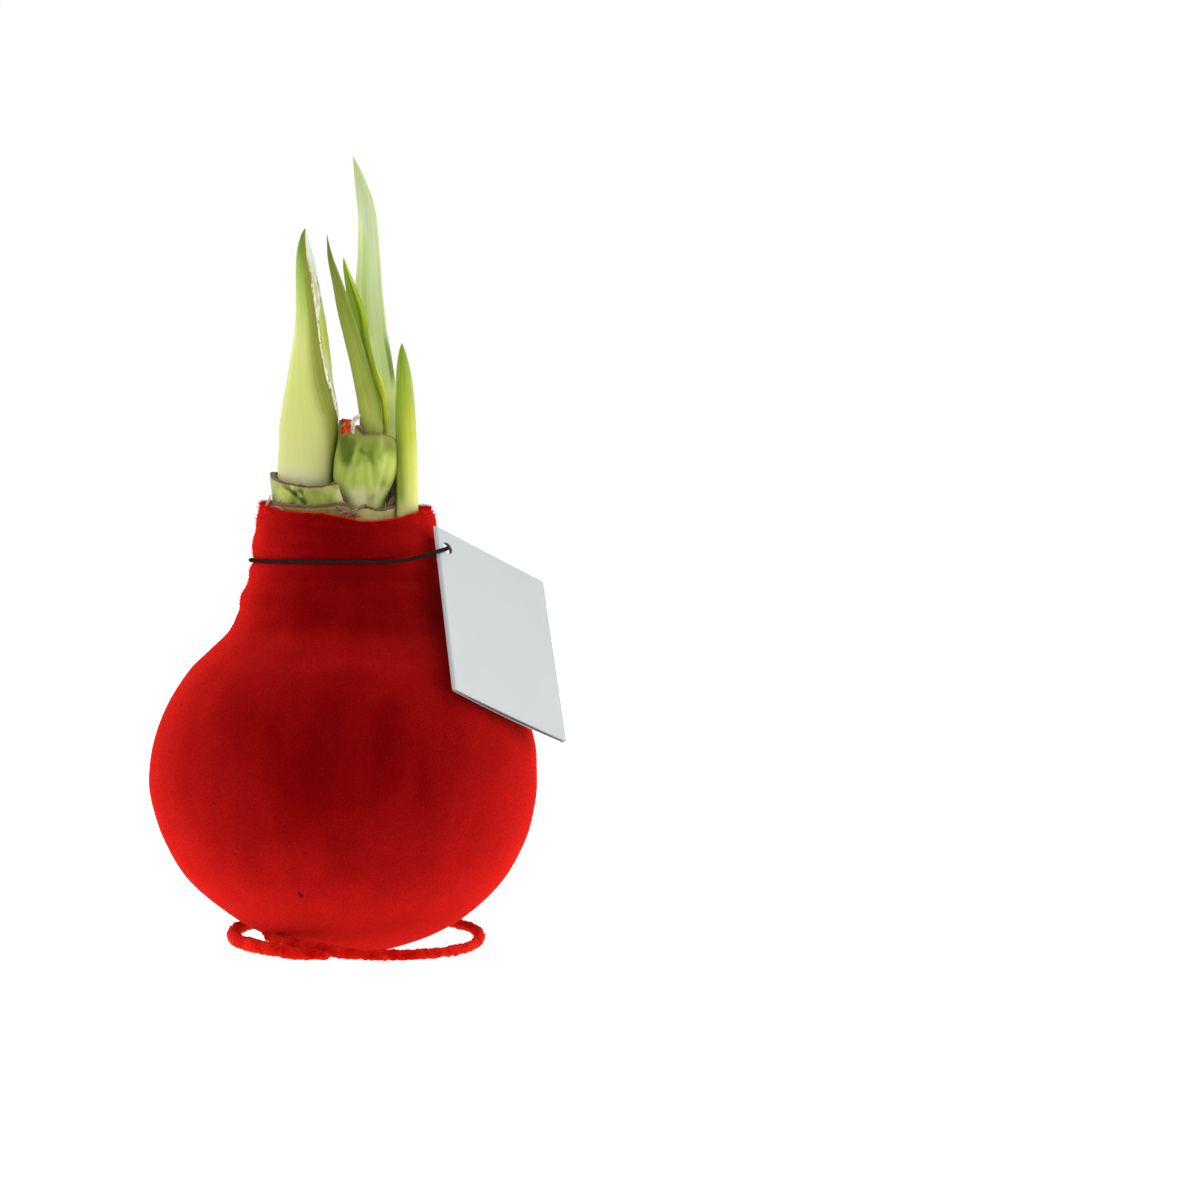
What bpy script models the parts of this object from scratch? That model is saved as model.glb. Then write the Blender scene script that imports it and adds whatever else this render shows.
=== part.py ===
# An amaryllis bulb in a wax and velvet coat, standing on a flocked wire foot, with its bud,
# its young leaves, an elastic cord round the neck and a folded hang tag.
#
# The origin is the middle of the coat's flat rest spot. +Z is up, -Y is the front and +X is
# to the right. Lengths in this file are in millimetres, and MM turns them into metres.

import math

import bmesh
import bpy
from mathutils import Vector

MM = 0.001
GAP = 0.3               # between pieces that touch

# Coat: outline as (radius, height, shift of its axis to the right)
WALL = 1.6
COAT_SIDES = 36
OUTER_RINGS = 34
INNER_RINGS = 18
COAT_OUTLINE = (
    (6.5, 0.0, 0.0),
    (11.0, 0.9, 0.0),
    (20.6, 4.1, 0.0),
    (29.8, 9.2, -0.3),
    (39.7, 18.0, -1.1),
    (45.4, 28.0, -1.4),
    (48.1, 38.1, -1.8),
    (48.5, 44.1, -1.9),
    (47.6, 52.6, -1.6),
    (44.0, 62.2, -1.5),
    (38.7, 70.6, -1.4),
    (33.9, 75.4, -1.3),
    (28.6, 80.8, -1.2),
    (26.2, 86.4, -1.1),
    (25.2, 90.6, -1.1),
    (23.9, 93.4, -1.1),
    (24.1, 95.9, -1.0),
    (23.6, 98.8, -1.0),
    (23.7, 102.3, -1.0),
    (22.8, 105.7, -0.9),
    (22.4, 108.7, -0.9),
    (21.5, 111.3, -1.0),
)
NECK_X = -1.0
NECK_RADIUS = 23.9      # where the elastic sits
RIM_RADIUS = COAT_OUTLINE[-1][0]
RIM_HEIGHT = COAT_OUTLINE[-1][1]
RIM_FOOT = 99.0         # above this height the neck follows the uneven rim
RIM_DIP = 4.2           # how much lower the rim is at the front
RIM_DIP_AT = math.radians(-78)
RIM_DIP_POWER = 1.6
LIP = 0.45              # rounding of the cut edge
LIP_STEPS = ((0.2, 0.8), (0.5, 1.0), (0.8, 0.8))
BELLY_WAVES = ((3, 0.7, 0.22), (5, 2.0, 0.16))      # (waves round, phase, size)
RIM_WAVES = ((5, 0.6, 0.18), (9, 0.0, 0.12))

# Bulb inside the coat, with the ridges of its cut scales on top as (share of radius, ridge)
BULB_TOP = 106.2
BULB_NECK = 103.5       # above this height the bulb draws in to its cut top
SCALE_RIDGE = 0.7
BULB_RIDGES = (
    (1.0, 0.5), (0.95, 1.0), (0.9, 0.2), (0.84, 1.0), (0.78, 0.1), (0.7, 0.7), (0.6, 0.0), (0.3, 0.0),
)
FOOT = BULB_TOP + SCALE_RIDGE + GAP     # where the bud, the sheath and the scales start

# Wire foot: (turn in degrees, radius, height of its middle) from its free end at the front
# once round the back, then in below the bulb, where its other end goes up
WIRE_RADIUS = 1.2
WIRE_SIDES = 8
WIRE_POINTS = 64
WIRE_CENTRE_X = 1.5
WIRE_TURNS = (
    (257, 31.2, 1.2),
    (240, 31.4, 1.7),
    (225, 31.3, 2.7),
    (200, 30.8, 3.4),
    (180, 30.6, 4.2),
    (160, 31.0, 5.2),
    (135, 31.6, 5.9),
    (90, 31.8, 6.6),
    (45, 31.6, 5.6),
    (20, 31.2, 4.7),
    (0, 30.9, 3.6),
    (-20, 31.0, 2.4),
    (-45, 30.9, 1.6),
    (-75, 30.4, 1.2),
    (-95, 29.2, 1.7),
    (-115, 27.3, 3.0),
    (-133, 26.2, 4.0),
    (-150, 24.4, 4.6),
)
SPIKE_BEND = 3.0
SPIKE_TOP = 16.0
BEND_STEPS = 5
BORE_SIDES = 12

# Elastic cord round the neck, through the hole of the tag
CORD_RADIUS = 0.5
CORD_SIDES = 6
CORD_POINTS = 76
CORD_HEIGHT = 97.9
NECK_STEPS = 24
KNOT_RADIUS = 1.1
KNOT_AT = math.radians(35)
KNOT_SIDES = 10
KNOT_RINGS = ((-1.2, 0.45), (-0.8, 0.9), (0.0, 1.0), (0.8, 0.9), (1.2, 0.45))

# Hang tag: its upper corner at the fold, the ways along its top edge and down its fold
TAG_CORNER = Vector((21.03, -12.13, 106.76))
TAG_ALONG = Vector((27.62, 26.0, -14.95)).normalized()
TAG_DOWN = Vector((4.2, -26.0, -39.33)).normalized()
TAG_WIDTH = 40.6
TAG_HEIGHT = 47.4
TAG_CARD = 0.6
TAG_SLIT = 0.3          # between the two leaves of the card at their edges
TAG_OPEN = 0.9          # and how much more in their middle
TAG_STEPS = 8
TAG_ROWS = 6
TAG_HOLE = (4.2, 5.0)   # from the fold and from the top edge
TAG_HOLE_RADIUS = 1.6
TAG_HOLE_SIDES = 20

# Leaves: (height, middle x, middle y, half width, half angle of the channel, facing)
# The facing is the way the rounded outer side looks, in degrees from +X.
LEAF_COLUMNS = 6
LEAF_ROWS = 16
LEAF_FOOT = 121.5
LEAF_EDGE = 0.35        # how much thinner a leaf is at its margins
LEAVES = {
    "leaf_front": {
        "thick": 1.1,
        "colour": (0.30, 0.42, 0.16),
        "stations": (
            (LEAF_FOOT, 5.2, -7.9, 2.2, 40, -106),
            (129.8, 5.9, -7.9, 2.7, 42, -106),
            (136.0, 4.9, -8.1, 2.7, 44, -106),
            (144.2, 3.0, -8.0, 2.4, 46, -106),
            (152.7, 0.8, -7.9, 2.15, 48, -106),
            (159.9, -1.2, -7.9, 1.85, 48, -106),
            (166.9, -3.0, -7.9, 1.25, 45, -106),
            (173.9, -4.8, -8.0, 0.6, 40, -106),
            (178.7, -5.5, -8.0, 0.3, 30, -106),
        ),
    },
    "leaf_middle": {
        "thick": 0.9,
        "colour": (0.20, 0.36, 0.08),
        "stations": (
            (LEAF_FOOT, 5.7, -5.0, 2.0, 50, 70),
            (125.5, 6.3, -5.1, 2.4, 52, 70),
            (129.5, 7.1, -5.2, 2.8, 54, 70),
            (136.0, 6.8, -5.2, 2.9, 56, 70),
            (142.7, 5.3, -5.1, 2.5, 58, 70),
            (152.7, 3.0, -5.0, 2.3, 58, 70),
            (158.9, 2.3, -5.0, 2.1, 56, 70),
            (164.6, 0.8, -5.0, 1.5, 52, 70),
            (170.1, -0.8, -5.0, 0.75, 44, 70),
            (173.1, -1.4, -5.0, 0.3, 30, 70),
        ),
    },
    "leaf_inner": {
        "thick": 0.8,
        "colour": (0.55, 0.70, 0.10),
        "stations": (
            (LEAF_FOOT, 5.6, -3.0, 1.2, 30, 60),
            (129.6, 7.8, -2.9, 1.8, 34, 60),
            (139.1, 8.0, -2.7, 1.9, 36, 60),
            (146.1, 6.9, -2.8, 1.1, 34, 60),
            (150.6, 6.0, -2.9, 0.35, 30, 60),
        ),
    },
    "leaf_tall": {
        "thick": 1.2,
        "colour": (0.42, 0.60, 0.28),
        "stations": (
            (LEAF_FOOT, 5.7, -1.6, 2.6, 54, 60),
            (126.2, 6.8, -1.5, 3.2, 56, 60),
            (130.7, 8.1, -0.5, 4.4, 57, 60),
            (137.9, 7.9, 0.3, 4.8, 58, 57),
            (147.9, 7.1, 0.8, 4.6, 58, 54),
            (155.3, 6.3, 0.9, 4.4, 56, 54),
            (165.3, 5.4, 1.0, 4.1, 54, 54),
            (174.1, 5.2, 0.9, 3.3, 50, 54),
            (185.3, 4.2, 0.7, 2.7, 46, 54),
            (193.3, 2.5, 0.4, 1.6, 40, 54),
            (198.5, 1.0, 0.2, 0.35, 30, 54),
        ),
    },
    "leaf_right": {
        "thick": 2.3,
        "colour": (0.36, 0.55, 0.12),
        "stations": (
            (FOOT, 14.7, -5.2, 2.8, 56, -52),
            (119.1, 14.5, -5.2, 2.65, 56, -52),
            (129.0, 14.3, -5.2, 2.6, 56, -52),
            (139.0, 13.9, -5.3, 2.3, 52, -52),
            (146.0, 13.4, -5.4, 1.6, 46, -52),
            (150.0, 13.1, -5.5, 0.85, 40, -52),
            (151.9, 13.0, -5.6, 0.3, 30, -52),
        ),
    },
}

# Flower bud: (height, middle x, middle y, half width, half depth)
BUD_SIDES = 26
BUD_ROWS = 22
BUD_STATIONS = (
    (FOOT, -11.0, -4.4, 5.4, 4.2),
    (114.3, -11.1, -4.4, 6.3, 4.9),
    (118.0, -11.0, -4.4, 6.8, 5.2),
    (122.0, -10.8, -4.5, 7.0, 5.4),
    (126.4, -10.4, -4.8, 7.1, 5.6),
    (131.1, -10.2, -5.0, 7.2, 5.7),
    (137.8, -9.8, -5.0, 6.6, 5.3),
    (142.8, -9.8, -5.0, 5.7, 4.8),
    (147.8, -9.6, -5.0, 5.0, 4.3),
    (155.2, -9.6, -5.0, 3.9, 3.5),
    (162.7, -10.1, -5.0, 3.1, 2.8),
    (170.1, -10.9, -5.0, 2.3, 2.1),
    (175.1, -11.4, -5.0, 1.5, 1.4),
    (178.8, -11.2, -5.0, 0.75, 0.8),
    (180.3, -10.9, -5.0, 0.25, 0.3),
)
VALVE_STEP = 0.5        # how far the front valve stands over the back one
VALVE_FOOT = 117.0      # where that step begins
VALVE_EDGE_TOP = math.radians(-8)
VALVE_EDGE_FOOT = math.radians(22)
VALVE_BACK_EDGE = math.radians(186)

# Leaf sheath: (height, middle x, middle y, half width, half depth)
SHEATH_SIDES = 28
SHEATH_WALL = 1.0
SHEATH_FLOOR = LEAF_FOOT - 0.4
SHEATH_STATIONS = (
    (FOOT, 4.4, -5.0, 4.6, 5.0),
    (112.6, 4.3, -5.2, 5.3, 5.8),
    (115.8, 3.7, -5.4, 6.5, 7.0),
    (118.4, 3.6, -5.5, 7.3, 7.6),
    (121.5, 3.9, -5.4, 7.5, 7.9),
    (124.5, 4.1, -5.2, 7.4, 7.9),
    (127.5, 4.4, -4.9, 7.0, 7.6),
    (130.1, 4.5, -4.7, 6.7, 7.3),
)
SHEATH_RIM = (
    (-180, 131.1), (-120, 130.0), (-90, 129.1), (-40, 129.1), (0, 127.3), (60, 126.1), (120, 129.9),
    (150, 132.6), (180, 131.1),
)
SHEATH_OUTER_ROWS = (0.0, 0.08, 0.18, 0.3, 0.42, 0.55, 0.68, 0.8, 0.9, 1.0)
SHEATH_INNER_ROWS = (1.0, 0.75, 0.5, 0.25, 0.0)
# Folds down the sheath: (direction in degrees, width in radians, height of the fold)
SHEATH_FOLDS = ((-78, 0.22, 0.5), (-105, 0.2, -0.55), (-50, 0.2, -0.35), (-25, 0.2, 0.3), (180, 0.2, -0.7),
                (-158, 0.2, 0.5), (150, 0.2, 2.0))

# Cut scales: plan points of the outer side, clockwise from above, then the cut upper edge
# as (share of the length, height)
SCALE_COLUMNS = 14
SCALE_POINTS = 40
SCALE_ROWS = 3
SCALES = {
    "bud_collar": {
        "plan": ((-1.4, -10.4), (-6.0, -11.5), (-11.4, -11.6), (-15.9, -9.6), (-18.1, -5.0),
                 (-17.3, -0.6), (-13.0, 1.9), (-8.0, 1.8), (-5.4, 1.0)),
        "wall": 0.8,
        "slant": 0.06,
        "flare": 1.4,
        "top": ((0.0, 117.3), (0.18, 116.5), (0.33, 117.1), (0.5, 118.6), (0.65, 119.9), (1.0, 119.2)),
        "crease": 0.25,
        "colour": (0.36, 0.48, 0.14),
    },
    "lower_scale_left": {
        "plan": ((1.2, -12.2), (-3.0, -12.9), (-8.0, -13.3), (-12.5, -13.1), (-15.4, -11.8)),
        "wall": 0.9,
        "slant": 0.0,
        "flare": 0.2,
        "top": ((0.0, 110.8), (0.13, 112.4), (0.55, 111.8), (1.0, 112.0)),
        "crease": 0.1,
        "colour": (0.40, 0.44, 0.14),
    },
    "lower_scale_right": {
        "plan": ((11.4, -4.8), (10.7, -8.2), (8.0, -11.2), (4.5, -12.4), (1.6, -12.3)),
        "wall": 0.9,
        "slant": 0.0,
        "flare": 0.2,
        "top": ((0.0, 112.0), (0.3, 111.5), (0.58, 110.8), (0.88, 111.8), (1.0, 110.8)),
        "crease": 0.1,
        "colour": (0.62, 0.62, 0.30),
    },
    "lower_scale_back": {
        "plan": ((-16.0, 9.1), (-9.1, 15.7), (0.5, 17.6), (9.6, 14.0), (15.3, 6.3)),
        "wall": 0.9,
        "slant": 0.0,
        "flare": -0.2,
        "top": ((0.0, 113.7), (0.3, 113.0), (0.7, 113.8), (1.0, 112.2)),
        "crease": 0.2,
        "colour": (0.52, 0.52, 0.22),
    },
    "dry_scale_left": {
        "plan": ((-16.8, -10.6), (-18.6, -7.8), (-19.85, -4.4)),
        "wall": 0.6,
        "slant": 0.0,
        "flare": 0.1,
        "top": ((0.0, 112.4), (0.25, 113.4), (0.5, 112.4), (0.75, 114.0), (1.0, 113.0)),
        "crease": 0.08,
        "colour": (0.25, 0.14, 0.07),
    },
    "dry_scale_right": {
        "plan": ((12.7, 4.3), (13.7, 2.9), (13.7, 0.9), (12.7, -0.5), (11.1, -1.0)),
        "wall": 0.6,
        "slant": 0.0,
        "flare": 0.1,
        "top": ((0.0, 114.2), (0.4, 118.6), (0.7, 119.5), (1.0, 121.8)),
        "crease": 0.08,
        "colour": (0.12, 0.07, 0.03),
    },
}


def clear_scene():
    for thing in list(bpy.data.objects):
        bpy.data.objects.remove(thing, do_unlink=True)


def finish(name, colour, roughness):
    material = bpy.data.materials.new(name)
    material.use_nodes = True
    shader = material.node_tree.nodes["Principled BSDF"]
    shader.inputs["Base Color"].default_value = (*colour, 1.0)
    shader.inputs["Roughness"].default_value = roughness
    shader.inputs["Metallic"].default_value = 0.0
    return material


def solid(name, points, faces, material, crisp=40):
    """One closed object from points in millimetres."""
    mesh = bpy.data.meshes.new(name)
    shape = bmesh.new()
    corners = [shape.verts.new(Vector(point) * MM) for point in points]
    for face in faces:
        shape.faces.new([corners[i] for i in face])
    bmesh.ops.recalc_face_normals(shape, faces=shape.faces)
    bmesh.ops.triangulate(shape, faces=shape.faces, quad_method="FIXED")
    shape.to_mesh(mesh)
    shape.free()
    mesh.shade_smooth()
    mesh.set_sharp_from_angle(angle=math.radians(crisp))
    mesh.materials.append(material)
    thing = bpy.data.objects.new(name, mesh)
    bpy.context.collection.objects.link(thing)
    return thing


def boolean(thing, points, faces, operation):
    """Cuts a shape out of an object or joins it to the object."""
    tool = solid("tool", points, faces, thing.data.materials[0])
    change = thing.modifiers.new("change", "BOOLEAN")
    change.operation = operation
    change.solver = "EXACT"
    change.object = tool
    done = bpy.data.meshes.new_from_object(thing.evaluated_get(bpy.context.evaluated_depsgraph_get()))
    thing.modifiers.remove(change)
    thing.data = done
    bpy.data.objects.remove(tool, do_unlink=True)


def between(stations, at):
    """The stations' other columns at one value of the first column, on an even curve."""
    stations = sorted(stations)
    at = min(max(at, stations[0][0]), stations[-1][0])
    last = len(stations) - 2
    k = min(sum(1 for station in stations[1:] if station[0] < at), last)
    before, after = stations[max(k - 1, 0)], stations[min(k + 2, last + 1)]
    low, high = stations[k], stations[k + 1]
    span = high[0] - low[0]
    t = (at - low[0]) / span
    result = []
    for i in range(1, len(low)):
        slope_low = (high[i] - before[i]) / (high[0] - before[0])
        slope_high = (after[i] - low[i]) / (after[0] - low[0])
        result.append(
            low[i] * (2 * t**3 - 3 * t**2 + 1)
            + span * slope_low * (t**3 - 2 * t**2 + t)
            + high[i] * (3 * t**2 - 2 * t**3)
            + span * slope_high * (t**3 - t**2)
        )
    return result


def smooth_line(points, count):
    """Evenly spaced points on a smooth curve through the given ones."""
    points = [Vector(point) for point in points]
    lengths = [0.0]
    for a, b in zip(points, points[1:]):
        lengths.append(lengths[-1] + (b - a).length)
    stations = [(s, *p) for s, p in zip(lengths, points)]
    return [Vector(between(stations, lengths[-1] * i / (count - 1))) for i in range(count)]


def circle(middle, across, up, radius, sides):
    turns = [math.tau * k / sides for k in range(sides)]
    return [middle + (across * math.cos(turn) + up * math.sin(turn)) * radius for turn in turns]


def belt(rings, looped=False):
    """Faces that join rings of equal count, one to the next."""
    sides = len(rings[0])
    faces = []
    for i in range(len(rings) if looped else len(rings) - 1):
        here, there = i * sides, (i + 1) % len(rings) * sides
        for k in range(sides):
            ahead = (k + 1) % sides
            faces.append((here + k, here + ahead, there + ahead, there + k))
    return faces


def stack(rings):
    """Points and faces of closed rings joined one to the next, with both ends closed."""
    sides = len(rings[0])
    corners = [Vector(corner) for ring in rings for corner in ring]
    faces = belt(rings)
    for first in (0, (len(rings) - 1) * sides):
        corners.append(sum(corners[first:first + sides], Vector()) / sides)
        for k in range(sides):
            faces.append((first + k, first + (k + 1) % sides, len(corners) - 1))
    return corners, faces


def tube(points, radius, sides, looped=False):
    """Points and faces of a round tube along a line, with flat ends or joined to itself."""
    count = len(points)
    rings = []
    side = None
    for i, point in enumerate(points):
        ahead = points[(i + 1) % count] if looped else points[min(i + 1, count - 1)]
        behind = points[i - 1] if looped or i else points[0]
        along = (ahead - behind).normalized()
        if side is None:
            side = along.cross(Vector((0, 0, 1))).normalized()
        side = (side - along * side.dot(along)).normalized()
        rings.append(circle(point, side, along.cross(side), radius, sides))
    if looped:
        return [corner for ring in rings for corner in ring], belt(rings, looped=True)
    return stack(rings)


def slab(outer, inner):
    """Points and faces between two grids of points alike, closed along their edges."""
    rows, columns = len(outer), len(outer[0])
    half = rows * columns
    corners = [corner for grid in (outer, inner) for row in grid for corner in row]
    faces = []
    for i in range(rows - 1):
        for k in range(columns - 1):
            here = i * columns + k
            quad = (here, here + 1, here + columns + 1, here + columns)
            faces.append(quad)
            faces.append(tuple(half + corner for corner in quad))
    edge = list(range(columns))
    edge += [i * columns + columns - 1 for i in range(1, rows)]
    edge += [(rows - 1) * columns + k for k in range(columns - 2, -1, -1)]
    edge += [i * columns for i in range(rows - 2, 0, -1)]
    for a, b in zip(edge, edge[1:] + edge[:1]):
        faces.append((a, b, half + b, half + a))
    return corners, faces


def ripple(waves, turn):
    return sum(size * math.sin(count * turn + phase) for count, phase, size in waves)


def rim_height(turn):
    """Height of the coat's cut edge in a direction."""
    dip = max(0.0, math.cos(turn - RIM_DIP_AT)) ** RIM_DIP_POWER
    return RIM_HEIGHT - RIM_DIP * dip + ripple(RIM_WAVES, turn)


def coat_profile(inset, count):
    """The coat's outline moved inwards, as (radius, height, shift), from its foot to the rim."""
    line = smooth_line(COAT_OUTLINE, count)
    moved = [Vector((line[0].x, inset, line[0].z))]
    for behind, here, ahead in zip(line, line[1:], line[2:]):
        along = Vector((ahead.x - behind.x, ahead.y - behind.y)).normalized()
        moved.append(Vector((here.x - along.y * inset, here.y + along.x * inset, here.z)))
    moved.append(Vector((line[-1].x - inset, line[-1].y, line[-1].z)))
    return moved


def coat_ring(station, lift=0.0):
    """A ring of the coat, a little uneven, its upper part drawn to the uneven rim."""
    fullness = min(station.x / 48.0, 1.0) * min(station.y / 12.0, 1.0)
    ring = []
    for k in range(COAT_SIDES):
        turn = math.tau * k / COAT_SIDES
        height = station.y
        if height > RIM_FOOT:
            share = (height - RIM_FOOT) / (RIM_HEIGHT - RIM_FOOT)
            height = RIM_FOOT + share * (rim_height(turn) - RIM_FOOT)
        radius = station.x + fullness * ripple(BELLY_WAVES, turn)
        ring.append(Vector((station.z + radius * math.cos(turn), radius * math.sin(turn), height + lift)))
    return ring


def make_coat():
    outer = coat_profile(0.0, OUTER_RINGS)
    inner = coat_profile(WALL, INNER_RINGS)
    rings = [coat_ring(station) for station in outer]
    for share, rise in LIP_STEPS:
        rings.append(coat_ring(outer[-1].lerp(inner[-1], share), LIP * rise))
    rings += [coat_ring(station) for station in reversed(inner)]
    return solid("velvet_coat", *stack(rings), finish("velvet", (0.45, 0.0, 0.01), 0.9))


def make_bulb():
    rings = [coat_ring(station) for station in coat_profile(WALL + GAP, INNER_RINGS)
             if station.y < BULB_NECK]
    edge = RIM_RADIUS - WALL - GAP
    for share, ridge in BULB_RIDGES:
        middle = Vector((NECK_X, 0, BULB_TOP + ridge * SCALE_RIDGE))
        rings.append(circle(middle, Vector((1, 0, 0)), Vector((0, 1, 0)), edge * share, COAT_SIDES))
    return solid("bulb", *stack(rings), finish("bulb_flesh", (0.55, 0.48, 0.28), 0.6))


def wire_line():
    """The wire's middle line: the turns on the table, then the end bent up into the bulb."""
    points = []
    for degrees, radius, height in WIRE_TURNS:
        turn = math.radians(degrees)
        points.append((WIRE_CENTRE_X + radius * math.cos(turn), radius * math.sin(turn), height))
    line = smooth_line(points, WIRE_POINTS)
    for point in line:
        point.z = max(point.z, WIRE_RADIUS)
    along = (line[-1] - line[-2]).normalized()
    along.z = 0.0
    foot = line[-1].copy()
    for step in range(1, BEND_STEPS + 1):
        bend = math.pi / 2 * step / BEND_STEPS
        rise = Vector((0, 0, 1 - math.cos(bend)))
        line.append(foot + (along * math.sin(bend) + rise) * SPIKE_BEND)
    line.append(Vector((line[-1].x, line[-1].y, SPIKE_TOP)))
    return line


def make_wire():
    shape = tube(wire_line(), WIRE_RADIUS, WIRE_SIDES)
    return solid("wire_foot", *shape, finish("flocked_wire", (0.4, 0.0, 0.01), 0.9))


def bore_for_spike(thing):
    """Clears the way of the wire's upturned end through the coat or the bulb."""
    line = wire_line()[-BEND_STEPS - 4:]
    line[-1].z += GAP + WIRE_RADIUS
    boolean(thing, *tube(line, WIRE_RADIUS + GAP, BORE_SIDES), "DIFFERENCE")


def tag_point(along, down, out):
    return TAG_CORNER + TAG_ALONG * along + TAG_DOWN * down + TAG_DOWN.cross(TAG_ALONG) * out


def card_section():
    """Outline of the folded card seen from above: round its front leaf, then its rear leaf."""
    shares = [i / TAG_STEPS for i in range(TAG_STEPS + 1)]
    front = [(share * TAG_WIDTH, 0.0) for share in shares]
    section = front + [(max(x, TAG_CARD), -TAG_CARD) for x, out in reversed(front)]
    rear = []
    for share in shares:
        bow = TAG_CARD + TAG_SLIT + TAG_OPEN * math.sin(math.pi * share)
        rear.append((share * TAG_WIDTH, -bow - TAG_CARD))
    section += [(max(x, TAG_CARD), out + TAG_CARD) for x, out in rear]
    return section + rear[::-1]


def make_tag():
    """One folded card, both leaves joined at the fold, with a punched hole."""
    section = card_section()
    rings = [[tag_point(along, TAG_HEIGHT * row / TAG_ROWS, out) for along, out in section]
             for row in range(TAG_ROWS + 1)]
    corners = [corner for ring in rings for corner in ring]
    ends = [tuple(row * len(section) + k for k in range(len(section))) for row in (0, TAG_ROWS)]
    tag = solid("hang_tag", corners, belt(rings) + ends,
                finish("silver_card", (0.55, 0.57, 0.58), 0.45), crisp=30)
    punch = [tag_point(*TAG_HOLE, 3.0), tag_point(*TAG_HOLE, -6.0)]
    boolean(tag, *tube(punch, TAG_HOLE_RADIUS, TAG_HOLE_SIDES), "DIFFERENCE")
    return tag


def cord_line():
    """The elastic's middle line: round the neck, then up to the tag, through its hole and back."""
    hole = tag_point(*TAG_HOLE, -TAG_CARD)
    heading = math.atan2(hole.y, hole.x - NECK_X)
    radius = NECK_RADIUS + GAP + CORD_RADIUS
    leave = math.acos(radius / math.hypot(hole.x - NECK_X, hole.y))
    rise = hole.z - CORD_HEIGHT
    points = []
    for i in range(NECK_STEPS + 1):
        share = i / NECK_STEPS
        turn = heading - leave - (math.tau - 2 * leave) * share
        lift = rise * (0.52 * max(0.0, 1 - share / 0.13) ** 1.4 + 0.5 * share**6)
        height = CORD_HEIGHT + lift
        points.append(Vector((NECK_X + radius * math.cos(turn), radius * math.sin(turn), height)))
    out = TAG_DOWN.cross(TAG_ALONG)
    points += [hole - out * 2.6 + Vector((0.3, 1.0, 0.0)), hole - out * 1.4, hole, hole + out * 1.5,
               hole + out * 2.4 - TAG_ALONG * 1.6, hole + out * 2.2 - TAG_ALONG * 4.4]
    return smooth_line(points + points[:1], CORD_POINTS)[:-1]


def make_cord():
    line = cord_line()
    cord = solid("elastic_cord", *tube(line, CORD_RADIUS, CORD_SIDES, looped=True),
                 finish("elastic", (0.01, 0.01, 0.01), 0.7))
    outward = Vector((math.cos(KNOT_AT), math.sin(KNOT_AT), 0.0))
    along = Vector((-outward.y, outward.x, 0.0))
    middle = min(line, key=lambda point: abs(math.atan2(point.y, point.x - NECK_X) - KNOT_AT))
    middle = middle + outward * (KNOT_RADIUS - CORD_RADIUS + 0.1)
    rings = [circle(middle + along * place, outward, Vector((0, 0, 1)), KNOT_RADIUS * size, KNOT_SIDES)
             for place, size in KNOT_RINGS]
    boolean(cord, *stack(rings), "UNION")
    return cord


def make_leaf(name, thick, colour, stations):
    """A thick channelled blade that narrows to its tip."""
    foot, tip = stations[0][0], stations[-1][0]
    outer, inner = [], []
    for i in range(LEAF_ROWS + 1):
        height = tip - (tip - foot) * (1 - i / LEAF_ROWS) ** 1.35
        x, y, half, angle, facing = between(stations, height)
        angle, facing = math.radians(angle), math.radians(facing)
        out = Vector((math.cos(facing), math.sin(facing), 0))
        across = Vector((-out.y, out.x, 0))
        bow = half / math.sin(angle)
        middle = Vector((x, y, height)) + out * bow * (1 - math.cos(angle)) / 2
        rows = ([], [])
        for k in range(LEAF_COLUMNS + 1):
            share = 2 * k / LEAF_COLUMNS - 1
            turn = share * angle
            skin = out * math.cos(turn) + across * math.sin(turn)
            point = middle + across * bow * math.sin(turn) - out * bow * (1 - math.cos(turn))
            body = min(thick, 0.5 + half * 0.9) * (1 - LEAF_EDGE * share * share) / 2
            rows[0].append(point + skin * body)
            rows[1].append(point - skin * body)
        outer.append(rows[0])
        inner.append(rows[1])
    return solid(name, *slab(outer, inner), finish(name + "_green", colour, 0.45))


def make_bud():
    """The closed spathe: a front valve that laps over the back one along an edge."""
    foot, tip = BUD_STATIONS[0][0], BUD_STATIONS[-1][0]
    rings = []
    for i in range(BUD_ROWS + 1):
        share = i / BUD_ROWS
        height = tip - (tip - foot) * (1 - share) ** 1.25
        x, y, half, deep = between(BUD_STATIONS, height)
        edge = VALVE_EDGE_FOOT + (VALVE_EDGE_TOP - VALVE_EDGE_FOOT) * share
        step = VALVE_STEP * min(1.0, half / 3.0) * min(1.0, max(0.0, (height - VALVE_FOOT) / 8.0))
        ring = []
        for k in range(BUD_SIDES):
            turn = math.tau * k / BUD_SIDES
            less = step if edge < turn < VALVE_BACK_EDGE else 0.0
            across = (half - less) * math.cos(turn)
            ring.append(Vector((x + across, y + (deep - less) * math.sin(turn), height)))
        rings.append(ring)
    return solid("flower_bud", *stack(rings), finish("bud_green", (0.55, 0.62, 0.25), 0.45))


def fold(turn, height):
    """How far the sheath's folds stand out in a direction; they run out towards its foot."""
    stand = 0.12 * math.sin(4 * turn)
    for degrees, width, size in SHEATH_FOLDS:
        apart = (turn - math.radians(degrees) + math.pi) % math.tau - math.pi
        stand += size * math.exp(-(apart / width) ** 2)
    return stand * min(max((height - FOOT - 4.0) / 8.0, 0.0), 1.0)


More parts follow.
